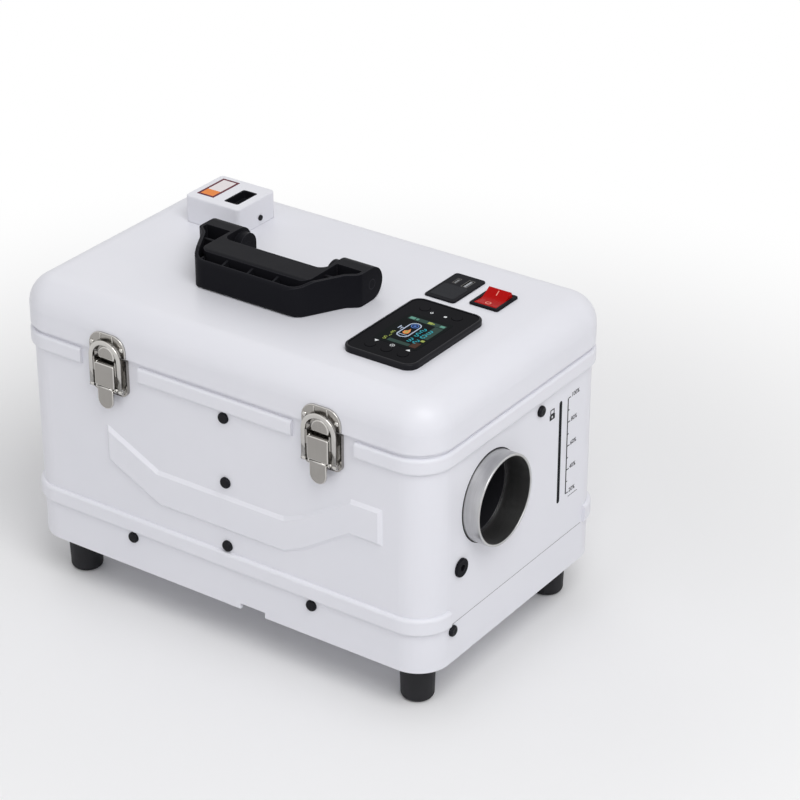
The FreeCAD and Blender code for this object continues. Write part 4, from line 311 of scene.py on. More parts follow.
def metal(name, colour, roughness, stretch, lines=420.0, depth=0.004, shade=0.80,
          cloud=(48.0, 1.0)):
    """Plated or drawn metal: fine lines across the stretched axis over darker clouds.

    The lines' depth is in millimetres; the clouds have a scale and a share of it along X, and shade
    is the share of the colour where they are darkest. With a small share along X they become slow
    dark bands round a spun part: a painted reflection.
    """
    material, tree = new_finish(name)
    line = tree.noise(lines, METAL_DETAIL, stretch)
    cloud = tree.noise(cloud[0], METAL_DETAIL, (cloud[1], 1.0, 1.0))
    dark = 0.5 * cloud + 0.3 * line
    close_finish(tree, {
        "Base Color": dark.mix(opaque(colour), opaque(shaded(colour, shade))),
        "Metallic": 1.0,
        "Roughness": roughness - 0.05 + 0.10 * cloud + 0.06 * line,
        "Normal": tree.relief(line, depth * MM),
    })
    return material


def ink(name, colour, roughness=0.45, mirror=0.1):
    """Printed ink, a little uneven, and how much it mirrors."""
    material, tree = new_finish(name)
    speck = tree.noise(INK_SPECK_SCALE)
    pale = tuple(min(1.0, 0.9 * part + 0.02) for part in colour)
    close_finish(tree, {
        "Base Color": speck.mix(opaque(colour), opaque(pale)),
        "Roughness": roughness + 0.1 * speck,
        "Specular IOR Level": mirror,
    })
    return material


def lit(name, colour, strength):
    """A lit sign behind the display pane, with dimmer dots."""
    material, tree = new_finish(name)
    dots = tree.noise(DISPLAY_DOT_SCALE, 1.0)
    close_finish(tree, {
        "Base Color": (0.006, 0.007, 0.008, 1.0),
        "Roughness": 0.25,
        "Specular IOR Level": 0.03,
        "Emission Color": dots.mix(opaque(colour), opaque(shaded(colour, 0.7))),
        "Emission Strength": strength,
    })
    return material


# Pieces


def add_object(name, data):
    made = bpy.data.objects.new(name, data)
    bpy.context.scene.collection.objects.link(made)
    return made


def add_mesh(shape, name, materials):
    """An object from a mesh under way."""
    data = bpy.data.meshes.new(name)
    shape.to_mesh(data)
    shape.free()
    for material in materials:
        data.materials.append(material)
    return add_object(name, data)


def make_piece(shape, name, materials, body):
    """A piece that rides on a body and has a slot."""
    bmesh.ops.recalc_face_normals(shape, faces=shape.faces)
    piece = add_mesh(shape, name, materials)
    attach(piece, body)
    return piece


def loft(shape, loops, closed=False):
    """Faces between rings of points, and caps at the ends of an open row of rings."""
    rings = [[shape.verts.new(point) for point in loop] for loop in loops]
    caps = [] if closed else [shape.faces.new(rings[0][::-1]), shape.faces.new(rings[-1])]
    sides = [shape.faces.new((first[i - 1], first[i], second[i], second[i - 1]))
             for first, second in zip(rings, rings[1:] + rings[:1] if closed else rings[1:])
             for i in range(len(first))]
    return sides, caps


def skin(shape, loops, closed=False):
    """Smooth sides in the second finish, a paler nickel that paints a highlight on rounded edges,
    with plain caps.
    """
    for side in loft(shape, loops, closed)[0]:
        side.smooth = True
        side.material_index = 1


# Flat marks

# Ends of each segment of a figure, as shares of its width and height
SEGMENT_LINES = {
    "a": ((0, 1), (1, 1)), "b": ((1, 0.5), (1, 1)), "c": ((1, 0), (1, 0.5)),
    "d": ((0, 0), (1, 0)), "e": ((0, 0), (0, 0.5)), "f": ((0, 0.5), (0, 1)),
    "g": ((0, 0.5), (1, 0.5)),
}
SEGMENTS = {"0": "abcdef", "1": "bc", "2": "abged", "3": "abgcd", "5": "afgcd", "E": "afged"}
# Shares of a figure's height, and the least cosine at a mitred corner
SEGMENT_WIDTH, SEGMENT_GAP, FIGURE_GAP = 0.16, 0.09, 0.45
SHARPEST_MITRE = 0.3


def circle(radius, u=0.0, v=0.0, start=0.0, sweep=2 * math.pi, steps=ROUND_STEPS):
    """Points on an arc, anticlockwise."""
    count = steps if sweep >= 2 * math.pi else steps + 1
    turns = [start + sweep * i / steps for i in range(count)]
    return [(u + radius * math.cos(turn), v + radius * math.sin(turn)) for turn in turns]


def box_points(u0, u1, v0, v1):
    """Rectangle with sharp corners, anticlockwise."""
    return [(u0, v0), (u1, v0), (u1, v1), (u0, v1)]


def rounded(u0, u1, v0, v1, radius):
    """Rectangle with round corners, anticlockwise."""
    quarter = math.pi / 2
    points = []
    corners = box_points(u0 + radius, u1 - radius, v0 + radius, v1 - radius)
    for turn, (u, v) in enumerate(corners, start=2):
        points += circle(radius, u, v, turn * quarter, quarter, CORNER_STEPS)
    return points


def aside(points, distance, closed):
    """The line moved sideways, mitred at its corners."""
    count = len(points)
    moved = []
    for i, point in enumerate(points):
        before = points[i - 1] if closed or i else points[0]
        after = points[(i + 1) % count] if closed or i < count - 1 else points[-1]
        legs = [Vector(b) - Vector(a) for a, b in ((before, point), (point, after)) if a != b]
        sides = [Vector((leg.y, -leg.x)).normalized() for leg in legs]
        mitre = (sides[0] + sides[-1]).normalized()
        reach = distance / max(SHARPEST_MITRE, mitre.dot(sides[0]))
        moved.append((point[0] + mitre.x * reach, point[1] + mitre.y * reach))
    return moved


class Marks:
    """Flat marks in millimetres on one plane, gathered into one mesh."""

    def __init__(self, plane, relief):
        self.mesh = bmesh.new()
        self.plane = plane
        self.relief = relief
        self.lift = 0.0
        self.ink = 0

    def build(self, rows, closed):
        """Faces in the ink between outlines at their heights."""
        loops = [[self.plane @ Vector((u * MM, v * MM, height + self.lift)) for u, v in points]
                 for points, height in rows]
        sides, caps = loft(self.mesh, loops, closed)
        for side in sides + caps:
            side.material_index = self.ink

    def fill(self, points):
        """A solid patch."""
        self.build([(points, 0.0), (points, self.relief)], False)

    def band(self, outer, inner):
        """A closed band between two outlines with as many points each."""
        self.build([(outer, 0.0), (outer, self.relief), (inner, self.relief), (inner, 0.0)], True)

    def stroke(self, points, width, closed=False):
        """A line of even width."""
        right = aside(points, width / 2, closed)
        left = aside(points, -width / 2, closed)
        if closed:
            self.band(right, left)
        else:
            self.fill(right + left[::-1])

    def figures(self, word, u, v, height, width):
        """Plain segment figures from a lower left corner."""
        for place, sign in enumerate(word):
            left = u + place * (width + FIGURE_GAP * height)
            for name in SEGMENTS[sign]:
                start, end = (Vector((left + a * width, v + b * height))
                              for a, b in SEGMENT_LINES[name])
                apart = SEGMENT_GAP * height * (end - start).normalized()
                self.stroke([tuple(start + apart), tuple(end - apart)], SEGMENT_WIDTH * height)

    def word(self, word, u, v, height):
        """Plain sans figures on a baseline."""
        curve = bpy.data.curves.new("figures", "FONT")
        curve.body, curve.size = word, height
        holder = bpy.data.objects.new("figures", curve)
        flat = bpy.data.meshes.new_from_object(holder)
        drawn = bmesh.new()
        drawn.from_mesh(flat)
        for side in bmesh.ops.extrude_face_region(drawn, geom=drawn.faces[:])["geom"]:
            if isinstance(side, bmesh.types.BMVert):
                side.co.z = self.relief / MM
        drawn.transform(self.plane @ Matrix.Scale(MM, 4) @ Matrix.Translation((u, v, 0.0)))
        drawn.to_mesh(flat)
        self.mesh.from_mesh(flat)
        drawn.free()
        bpy.data.objects.remove(holder)
        bpy.data.curves.remove(curve)
        bpy.data.meshes.remove(flat)


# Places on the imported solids


def top_plane(u, v, height):
    """Plane facing up, its u along X and v along Y."""
    return Matrix.Translation((u, v, height))


def wall_plane(place, out):
    """Plane on an upright wall, its v along Z and its face the way the wall faces."""
    return Matrix.Translation(place) @ Matrix((UP.cross(out), UP, out)).transposed().to_4x4()


def outward(point):
    """The way that the case wall nearest a point faces."""
    low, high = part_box("case_tub")
    gaps = {(-1.0, 0.0): point.x - low.x, (1.0, 0.0): high.x - point.x,
            (0.0, -1.0): point.y - low.y, (0.0, 1.0): high.y - point.y}
    return Vector((*min(gaps, key=gaps.get), 0.0))


def solids(node):
    """Point clouds of the separate solids in a node."""
    shape = bmesh.new()
    shape.from_mesh(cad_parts[node].data)
    bmesh.ops.remove_doubles(shape, verts=shape.verts, dist=0.001 * MM)
    clouds, known = [], set()
    for seed in shape.verts:
        queue, cloud = [seed], []
        while queue:
            vert = queue.pop()
            if vert not in known:
                known.add(vert)
                cloud.append(vert.co.copy())
                queue += [edge.other_vert(vert) for edge in vert.link_edges]
        if cloud:
            clouds.append(cloud)
    shape.free()
    return clouds


def middle(node):
    """Middle of a node's box, and the box's top."""
    low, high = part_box(node)
    return (low + high) / 2, high.z


def facet(node, back):
    """Plane on the largest upward flat in the front or back half of a node, its u along X."""
    centre = middle(node)[0]
    flats = {}
    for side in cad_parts[node].data.polygons:
        if side.normal.z > 0.5 and (side.center.y > centre.y) == back:
            flats.setdefault(tuple(round(part, 2) for part in side.normal), []).append(side)
    sides = max(flats.values(), key=lambda group: sum(side.area for side in group))
    area = sum(side.area for side in sides)
    place = sum((side.center * side.area for side in sides), Vector()) / area
    up = sides[0].normal
    return Matrix.Translation(place) @ Matrix((RIGHT, up.cross(RIGHT), up)).transposed().to_4x4()


def dress(nodes, material):
    """Give nodes their finish."""
    for name in nodes.split():
        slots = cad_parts[name].data.materials
        slots.clear()
        slots.append(material)


def finish_of(node):
    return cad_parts[node].data.materials[0]


# Operators


class HEATER_OT_case(bpy.types.Operator):
    """White mouldings of the case and its rubber"""

    bl_idname = "heater.case"
    bl_label = "Case"

    def execute(self, context):
        look = context.scene.heater_finishes
        dress("bottom_pan case_tub lid_shell filler_cover", moulded(
            "case_white", look.case_white, look.case_shade, look.case_gloss, grain=1500.0,
            depth=0.012, coat=0.05, mirror=0.4))
        dress("rubber_feet lid_seal heater_gasket fuel_hoses", moulded(
            "rubber", look.rubber, look.black_dust, roughness=0.62, grain=900.0, depth=0.03,
            mirror=0.3))
        return {"FINISHED"}


class HEATER_OT_black_mouldings(bpy.types.Operator):
    """Handle, bezels, sockets, grille and screws in black"""

    bl_idname = "heater.black_mouldings"
    bl_label = "Black mouldings"

    def execute(self, context):
        look = context.scene.heater_finishes
        dress("carry_handle handle_brackets filler_cover_pull power_inlet intake_grille usb_panel "
              "switch_housing filler_cap gauge_window", moulded(
                  "black_grain", look.black, look.black_dust, roughness=0.42, grain=1900.0,
                  depth=0.03, mirror=0.025, edge_highlight=look.black_edge_highlight))
        # The bezel's base is the paler bloom black, lighter than the face: a painted highlight on
        # its rim
        dress("controller_bezel", moulded(
            "black_rim", look.black_dust, look.black, roughness=0.30, grain=900.0, depth=0.01,
            mirror=0.10, edge_highlight=look.black_edge_highlight))
        dress("case_screws filler_cover_screw", moulded(
            "black_paint", look.black, look.black_dust, roughness=0.30, grain=700.0, depth=0.01,
            mirror=0.10))
        return {"FINISHED"}


class HEATER_OT_hardware(bpy.types.Operator):
    """Latches, hinges, socket shells, pipes and outlet collar"""

    bl_idname = "heater.hardware"
    bl_label = "Hardware"

    def execute(self, context):
        look = context.scene.heater_finishes
        upright = (1.0, 1.0, 0.12)
        dress("latch_bases latch_keepers latch_lever_left latch_lever_right latch_bail_left "
              "latch_bail_right", metal("nickel", look.nickel, roughness=0.20, stretch=upright))
        dress("usb_sockets", metal(
            "socket_shell", shaded(look.nickel, 0.3), roughness=0.30, stretch=upright))
        dress("foot_screws front_brace hinge_case_leaves hinge_lid_leaves filler_cover_pin "
              "heater_stand tank_brackets pump_clamp fuel_pump blower_motor blower_shaft "
              "glow_plug exhaust_pipe", metal(
                  "steel", look.steel, roughness=0.36, stretch=(0.2, 1.0, 1.0)))
        # Slow dark bands round the collar and pipe, even along their axis: a painted reflection
        dress("outlet_collar combustion_air_pipe", metal(
            "spun_aluminium", look.aluminium, roughness=0.26, stretch=(1.0, 0.03, 0.03),
            lines=1400.0, shade=0.3, cloud=(26.0, 0.02)))
        return {"FINISHED"}


class HEATER_OT_inside(bpy.types.Operator):
    """Heater, blower, tank and fuel filter inside the case, and the socket tongues"""

    bl_idname = "heater.inside"
    bl_label = "Inside"

    def execute(self, context):
        look = context.scene.heater_finishes
        dress("heater_lower_shell heater_upper_shell blower_housing control_unit hot_air_fan "
              "combustion_fan", moulded(
                  "heater_shell", look.black, look.black_dust, roughness=0.50, grain=1300.0,
                  depth=0.04, mirror=0.3))
        dress("heat_exchanger", metal(
            "cast_aluminium", look.aluminium, roughness=0.48, stretch=EVEN, lines=900.0,
            depth=0.03))
        pale = shaded(look.tank, 0.9)
        dress("fuel_tank", moulded(
            "tank_plastic", look.tank, pale, roughness=0.42, grain=600.0, depth=0.02))
        dress("fuel_filter", moulded(
            "filter_plastic", look.tank, pale, roughness=0.20, grain=600.0, depth=0.01, coat=0.4))
        dress("usb_tongues", moulded(
            "tongue_plastic", look.tongue, look.tongue, roughness=0.40, grain=900.0, depth=0.01))
        return {"FINISHED"}


# Signs on the display, in millimetres from its middle: layer, place of the ink, kind and sizes
DIGITS, FIGURES, OUTLINE, FLAME, FAN, STATUS, DIM, WARM = range(8)
HULL = [(-8.7, 7.6), (-8.7, -8.8), (-7.6, -11.0), (-3.75, -12.4), (0.1, -11.0), (1.2, -8.8),
        (1.2, 7.6), *circle(4.95, -3.75, 7.6, sweep=math.pi, steps=DOT_STEPS)[1:-1]]
DISPLAY_SIGNS = (
    *((0, DIM, "fill", rounded(*field, 0.5)) for field in (
        (-16.8, 17.2, 16.2, 21.2), (9.8, 17.2, -6.0, 15.6), (-9.0, 10.6, -22.8, -18.6))),
    (0, WARM, "fill", rounded(11.2, 17.2, -22.8, -14.0, 0.5)),
    *((1, DIGITS, "figures", word, 4.2, row, 5.6, 3.2)
      for word, row in (("23", 2.3), ("50", -5.6), ("32", -15.7))),
    *((1, FIGURES, "figures", word, -13.4, row, 4.0, 2.4)
      for word, row in (("E", -11.2), ("1", -16.6), ("5", -22.2))),
    (1, FIGURES, "fill", rounded(1.2, 5.2, 17.2, 20.2, 0.4)),
    (1, FIGURES, "fill", [(5.8, 17.4), (7.4, 18.7), (5.8, 20.0)]),
    (1, FIGURES, "fill", rounded(14.0, 17.0, -11.2, -8.4, 0.4)),
    (1, OUTLINE, "stroke", HULL, 0.9, True),
    (1, OUTLINE, "stroke", [(-7.9, -8.6), (0.4, -8.6)], 0.5),
    (1, OUTLINE, "stroke", [(-13.2, -1.6), (-13.2, 3.4)], 0.8),
    (1, OUTLINE, "stroke", [(-12.4, 1.0), (-9.6, 1.0)], 0.6),
    (1, OUTLINE, "stroke", [(-10.9, -1.8), (-10.9, 0.4)], 0.6),
    (1, FLAME, "fill", [(-6.2, -5.6), (-3.8, -7.2), (-1.2, -5.4), (-1.4, -2.0), (-3.5, 2.2),
                        (-4.2, -1.0), (-6.4, -2.6)]),
    (1, FAN, "stroke", circle(2.9, -3.75, 7.9), 0.9, True),
    (1, FAN, "fill", circle(1.3, -3.75, 7.9, steps=DOT_STEPS)),
    (1, STATUS, "fill", rounded(-15.6, -10.8, 17.0, 20.4, 0.5)),
    (1, STATUS, "fill", rounded(-9.8, -7.6, 17.4, 20.0, 0.4)),
    (1, STATUS, "fill", rounded(12.4, 16.4, 17.2, 20.2, 0.5)),
    (2, FIGURES, "fill", [(-5.0, -4.8), (-3.8, -5.6), (-2.6, -4.6), (-2.9, -2.6), (-3.6, -1.0),
                          (-4.3, -3.0)]),
)

# Marks by the keys: the key, the mark's place in millimetres from its middle, kind and sizes
BEHIND, INWARD_LEFT, INWARD_RIGHT = (0.0, 7.8), (8.7, -3.3), (-8.7, -3.3)
POWER_RING = circle(1.1, start=0.75 * math.pi, sweep=1.5 * math.pi, steps=FINE_STEPS)
KEY_MARKS = (
    ("key_front_left", BEHIND, "fill", [(-2.0, 1.2), (0.0, -1.6), (2.0, 1.2)]),
    ("key_front_right", BEHIND, "fill", [(-2.0, -1.2), (2.0, -1.2), (0.0, 1.6)]),
    ("key_front_middle", BEHIND, "stroke", circle(1.7), 0.4, True),
    ("key_front_middle", BEHIND, "fill", circle(0.5, steps=FINE_STEPS)),
    ("key_back_right", INWARD_RIGHT, "fill", circle(1.3, steps=DOT_STEPS)),
    ("key_back_left", INWARD_LEFT, "stroke", POWER_RING, 0.5),
    ("key_back_left", INWARD_LEFT, "stroke", [(0.0, 0.2), (0.0, 1.8)], 0.5),
)

# A ring on the rocker's pressed end and a bar on the raised one
ROCKER_MARKS = (("rocker_off_mark", False, circle(2.1), 0.7, True),
                ("rocker_on_mark", True, [(0.0, -2.4), (0.0, 2.4)], 0.8))

# Dull blank field in front of the sockets, in millimetres
FIELD_SIDE, FIELD_FRONT, FIELD_BACK, FIELD_CORNER = 3.2, 4.0, 26.0, 2.5


class HEATER_OT_controls(bpy.types.Operator):
    """Glossy face, keys, display signs and rocker marks"""

    bl_idname = "heater.controls"
    bl_label = "Controls"

    def execute(self, context):
        look = context.scene.heater_finishes
        marks = context.scene.heater_marks
        dress("controller_face key_front_left key_front_middle key_front_right key_back_left "
              "key_back_right", moulded(
                  "gloss_face", look.gloss_black, look.black, roughness=0.16, grain=300.0,
                  depth=0.004, mirror=0.014))
        dress("controller_screen", moulded(
            "display_pane", look.pane, look.pane_glow, roughness=0.12, grain=200.0, depth=0.002,
            mirror=0.012))
        dress("power_rocker", moulded(
            "rocker_red", look.red, shaded(look.red, 0.72), roughness=0.24, grain=500.0,
            depth=0.004, mirror=0.06))
        self.draw_display(marks)
        self.draw_key_marks(marks)
        pale_red = ink("rocker_ink", marks.pale_red_ink)
        for name, back, *line in ROCKER_MARKS:
            drawn = Marks(facet("power_rocker", back), marks.relief)
            drawn.stroke(*line)
            make_piece(drawn.mesh, name, [pale_red], "rocker")
        self.draw_socket_field(marks)
        return {"FINISHED"}

    def draw_display(self, marks):
        centre, top = middle("controller_screen")
        drawn = Marks(top_plane(centre.x, centre.y, top), marks.relief)
        for layer, place, kind, *sizes in DISPLAY_SIGNS:
            drawn.lift, drawn.ink = layer * marks.relief, place
            getattr(drawn, kind)(*sizes)
        inks = [lit("display_" + name, colour, strength) for name, colour, strength in (
            ("digits", marks.digits, 0.62), ("figures", marks.small_digits, 0.6),
            ("outline", marks.outline, 0.85), ("flame", marks.flame, 0.9),
            ("fan", marks.fan, 0.8), ("status", marks.status, 0.8),
            ("dim", marks.status, 0.13), ("warm", marks.flame, 0.06))]
        make_piece(drawn.mesh, "display_signs", inks, "lid")

    def draw_key_marks(self, marks):
        top = middle("controller_face")[1]
        drawn = Marks(Matrix(), marks.relief)
        for key, (u, v), kind, *sizes in KEY_MARKS:
            centre = middle(key)[0]
            drawn.plane = top_plane(centre.x + u * MM, centre.y + v * MM, top)
            getattr(drawn, kind)(*sizes)
        white = ink("white_ink", marks.white_ink)
        make_piece(drawn.mesh, "key_marks", [white], "lid")

    def draw_socket_field(self, marks):
        low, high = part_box("usb_panel")
        side = (high.x - low.x) / MM - FIELD_SIDE
        drawn = Marks(top_plane(low.x, low.y, high.z), marks.relief)
        drawn.fill(rounded(FIELD_SIDE, side, FIELD_FRONT, FIELD_BACK, FIELD_CORNER))
        dull = ink("dull_black", marks.dull, roughness=0.6, mirror=0.04)
        make_piece(drawn.mesh, "socket_field", [dull], "lid")


# Fuel scale and pump pictogram, in millimetres from the gauge window and along the scale
SCALE_SIDE, SCALE_FOOT, SCALE_HEAD, SCALE_LINE, SCALE_STEPS = 11.0, 7.5, 6.4, 1.3, 8
TICK_START, LONG_TICK, SHORT_TICK, TICK_LINE = 0.5, 4.0, 2.2, 0.8
SHARES = ("20%", "40%", "60%", "80%", "100%")
SHARE_SIDE, SHARE_DROP, SHARE_HEIGHT = 5.0, 0.8, 5.4
DASHES, DASH_SIDE, DASH_STEP, DASH_LENGTH, DASH_DROP, DASH_LINE = 6, 4.0, 2.4, 1.7, 4.2, 0.5
PUMP_DROP = 8.5
PUMP_BANDS = (
    (rounded(-26.5, -20.5, 4.6, 9.2, 0.6), rounded(-25.6, -21.4, 5.4, 8.4, 0.4)),
    (rounded(-27.3, -19.7, 0.0, 4.6, 0.5), rounded(-24.5, -22.5, 1.2, 3.4, 0.4)),
)
# Width of the painted shadow round the outlet; end and width of the joint lines
OUTLET_SHADOW_WIDTH, JOINT_END, JOINT_LINE = 0.9, 30.0, 0.5


class HEATER_OT_wall_marks(bpy.types.Operator):
    """Fuel scale, pump pictogram, painted shadow round the outlet and joint lines on the side walls
    """

    bl_idname = "heater.wall_marks"
    bl_label = "Wall marks"

    def execute(self, context):
        marks = context.scene.heater_marks
        low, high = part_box("gauge_window")
        foot = Vector((high.x, (low.y + high.y) / 2 + SCALE_SIDE * MM, low.z + SCALE_FOOT * MM))
        drawn = Marks(wall_plane(foot, RIGHT), marks.relief)
        rise = (high.z - foot.z) / MM - SCALE_HEAD
        drawn.stroke([(0.0, 0.0), (0.0, rise)], SCALE_LINE)
        for tick in range(SCALE_STEPS + 1):
            level = rise * tick / SCALE_STEPS
            reach = SHORT_TICK if tick % 2 else LONG_TICK
            drawn.stroke([(TICK_START, level), (reach, level)], TICK_LINE)
        for place, share in enumerate(SHARES):
            level = rise * 2 * place / SCALE_STEPS
            drawn.word(share, SHARE_SIDE, level - SHARE_DROP, SHARE_HEIGHT)
        for dash in range(DASHES):
            start = DASH_SIDE + DASH_STEP * dash
            drawn.stroke([(start, -DASH_DROP), (start + DASH_LENGTH, -DASH_DROP)], DASH_LINE)
        drawn.plane = drawn.plane @ Matrix.Translation((0.0, (rise - PUMP_DROP) * MM, 0.0))
        for band in PUMP_BANDS:
            drawn.band(*band)
        black = [ink("scale_ink", marks.ink)]
        make_piece(drawn.mesh, "fuel_scale", black, "case")
        # Dark ring round the outlet collar where it meets the wall: painted shadow, in the scale's
        # ink
        centre = middle("outlet_collar")[0]
        ring = Marks(wall_plane(Vector((high.x, centre.y, centre.z)), RIGHT), marks.relief)
        ring.band(*(circle(marks.outlet / MM + line, steps=OUTLET_STEPS)
                    for line in (OUTLET_SHADOW_WIDTH, 0.0)))
        make_piece(ring.mesh, "outlet_joint_line", black, "case")
        self.draw_joint_lines(marks)
        return {"FINISHED"}

    def draw_joint_lines(self, marks):
        """Lines between pan and tub."""
        low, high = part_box("bottom_pan")
        half = (high.y - low.y) / 2 / MM - JOINT_END
        grey = [ink("joint_shade", marks.joint)]
        for name, x, out in (("right_joint_line", high.x, RIGHT),
                             ("left_joint_line", low.x, -RIGHT)):
            place = Vector((x, (low.y + high.y) / 2, high.z))
            line = Marks(wall_plane(place, out), 0.5 * marks.relief)
            line.stroke([(-half, 0.0), (half, 0.0)], JOINT_LINE)
            make_piece(line.mesh, name, grey, "case")


# Blank label, in millimetres: from the pull and the cover's front, then its inks and fields
LABEL_SIDE, LABEL_FRONT = 10.7, 8.3
LABEL_FIELDS = (
    (0, "band", box_points(-17.5, 0.0, 0.0, 36.0), box_points(-15.3, -2.2, 2.2, 33.8)),
    (1, "fill", box_points(-15.27, -2.23, 2.23, 12.47)),
    (2, "fill", box_points(-15.27, -2.23, 12.5, 33.77)),
)


class HEATER_OT_filler_label(bpy.types.Operator):
    """Blank coloured label on the filler cover"""

    bl_idname = "heater.filler_label"
    bl_label = "Filler label"

    def execute(self, context):
        marks = context.scene.heater_marks
        low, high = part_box("filler_cover")
        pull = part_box("filler_cover_pull")[0]
        plane = top_plane(pull.x - LABEL_SIDE * MM, low.y + LABEL_FRONT * MM, high.z)
        drawn = Marks(plane, marks.relief)
        for place, kind, *sizes in LABEL_FIELDS:
            drawn.ink = place
            getattr(drawn, kind)(*sizes)
        inks = [ink("label_border", marks.label_border), ink("label_block", marks.label_block),
                ink("label_paper", marks.label_paper)]
        make_piece(drawn.mesh, "filler_label", inks, "cover")
        return {"FINISHED"}


# Cross drive of a screw, in millimetres
SCREW_CROSS = [(0.42, -2.1), (0.42, -0.42), (2.1, -0.42), (2.1, 0.42), (0.42, 0.42), (0.42, 2.1),
               (-0.42, 2.1), (-0.42, 0.42), (-2.1, 0.42), (-2.1, -0.42), (-0.42, -0.42),
               (-0.42, -2.1)]


class HEATER_OT_screw_drives(bpy.types.Operator):
    """Cross drives in the heads of the case screws, drawn flat as painted shade"""

    bl_idname = "heater.screw_drives"
    bl_label = "Screw drives"

    def execute(self, context):
        marks = context.scene.heater_marks
        drawn = Marks(Matrix(), 0.4 * marks.relief)
        for cloud in solids("case_screws"):
            centre = sum(cloud, Vector()) / len(cloud)
            out = outward(centre)
            reach = max(point.dot(out) for point in cloud)
            drawn.plane = wall_plane(centre + out * (reach - centre.dot(out)), out)
            drawn.fill(SCREW_CROSS)
        # Dark ink standing in for the drive's recess: painted shade
        shade = ink("screw_recess", marks.recess, roughness=0.6)
        make_piece(drawn.mesh, "screw_drives", [shade], "case")
        return {"FINISHED"}


# Ribs of the handle from its middle, front and foot: across, along and the heights of the top
RIBS = (
    (mm(-26.0, -24.0), mm(2.6, 12.2), mm(22.6, 25.2)),
    (mm(-1.0, 1.0), mm(2.6, 12.2), mm(22.6, 25.2)),
    (mm(24.0, 26.0), mm(2.6, 12.2), mm(22.6, 25.2)),
    (mm(-68.4, -52.6), mm(35.0, 37.0), mm(24.6, 24.8)),
    (mm(52.6, 68.4), mm(35.0, 37.0), mm(24.6, 24.8)),
)
RIB_FOOT, RIB_ROUNDING, TIP_HEIGHT, TIP_ROUNDING = mm(7.2, 0.35, 2.3, 0.2)


class HEATER_OT_inner_ribs(bpy.types.Operator):
    """Ribs that show in the handle's trough, and the tips of the socket tongues"""

    bl_idname = "heater.inner_ribs"
    bl_label = "Inner ribs"

    def execute(self, context):
        low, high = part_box("carry_handle")
        start = Vector(((low.x + high.x) / 2, low.y, low.z))
        ribs = bmesh.new()
        for across, along, tops in RIBS:
            self.rib(ribs, start, across, along, RIB_FOOT, tops)
        self.close(ribs, RIB_ROUNDING, "handle_ribs", "carry_handle", "handle", "black_plastic")
        tips = bmesh.new()
        for cloud in solids("usb_tongues"):
            x, y, z = ((min(axis), max(axis)) for axis in zip(*cloud))
            self.rib(tips, Vector(), x, y, z[1], [z[1] + TIP_HEIGHT] * 2)
        self.close(tips, TIP_ROUNDING, "tongue_tips", "usb_tongues", "lid", "tongue")
        return {"FINISHED"}

    def rib(self, shape, start, across, along, foot, tops):
        """A plate on a flat foot whose top runs from one height to another."""
        loft(shape, [[start + Vector((across[i], along[j], heights[j]))
                      for i, j in ((0, 0), (1, 0), (1, 1), (0, 1))]
                     for heights in ((foot, foot), tops)])

    def close(self, shape, rounding, name, node, body, slot):
        """Round the edges and make the piece in a node's finish."""
        bmesh.ops.bevel(shape, geom=shape.edges[:], offset=rounding, segments=2, profile=0.5,
                        affect="EDGES")
        make_piece(shape, name, [finish_of(node)], body)


# Forms of the latch pieces that aren't settings
BAIL_PIN, LEVER_PIN, LEVER_PIN_IN, PIN_PLAY = mm(1.25, 1.5, 3.7, 0.12)
HEAD_GAP, HEAD_RISE, HEAD_CORNER = mm(1.1, 0.7, 1.6)
BRIDGE_SIDE, BRIDGE_DROP, BRIDGE_RISE, BRIDGE_CORNER = mm(1.0, 1.6, 3.0, 0.5)
PLATE_DROP, PLATE_FOOT, HOOK_DROP, RIVET_SIDE, RIVET_DROP = mm(1.5, 4.5, 0.4, 14.8, 12.0)
RIDGE_SIDE, RIDGE_HALF, RIDGE_FOOT, RIDGE_HEAD, RIDGE_CORNER = mm(6.0, 0.7, 9.0, 1.0, 0.6)
# Shares of the band's depth, of a sheet, of a pin's radius or of the hook's depth
BAND_CORNER, HEAD_EDGE, TAB_IN, ROLL_RADIUS = 0.48, 0.6, 0.2, 0.55
BRIDGE_BACK, BRIDGE_EDGE = 1.45, 0.1
BAIL_EYE, LEVER_EYE, CHEEK_FOOT, CHEEK_HEAD = 1.9, 1.6, 1.4, 1.2
PLATE_EDGE, HOOK_EDGE, RIDGE_OUT, RIDGE_EDGE = 0.4, 0.9, 0.4, 0.3
# Radius and height of a rivet's rings, as shares of its radius
RIVET_RINGS = ((1.0, 0.0), (1.0, 0.16), (0.86, 0.36), (0.5, 0.5), (0.12, 0.54))


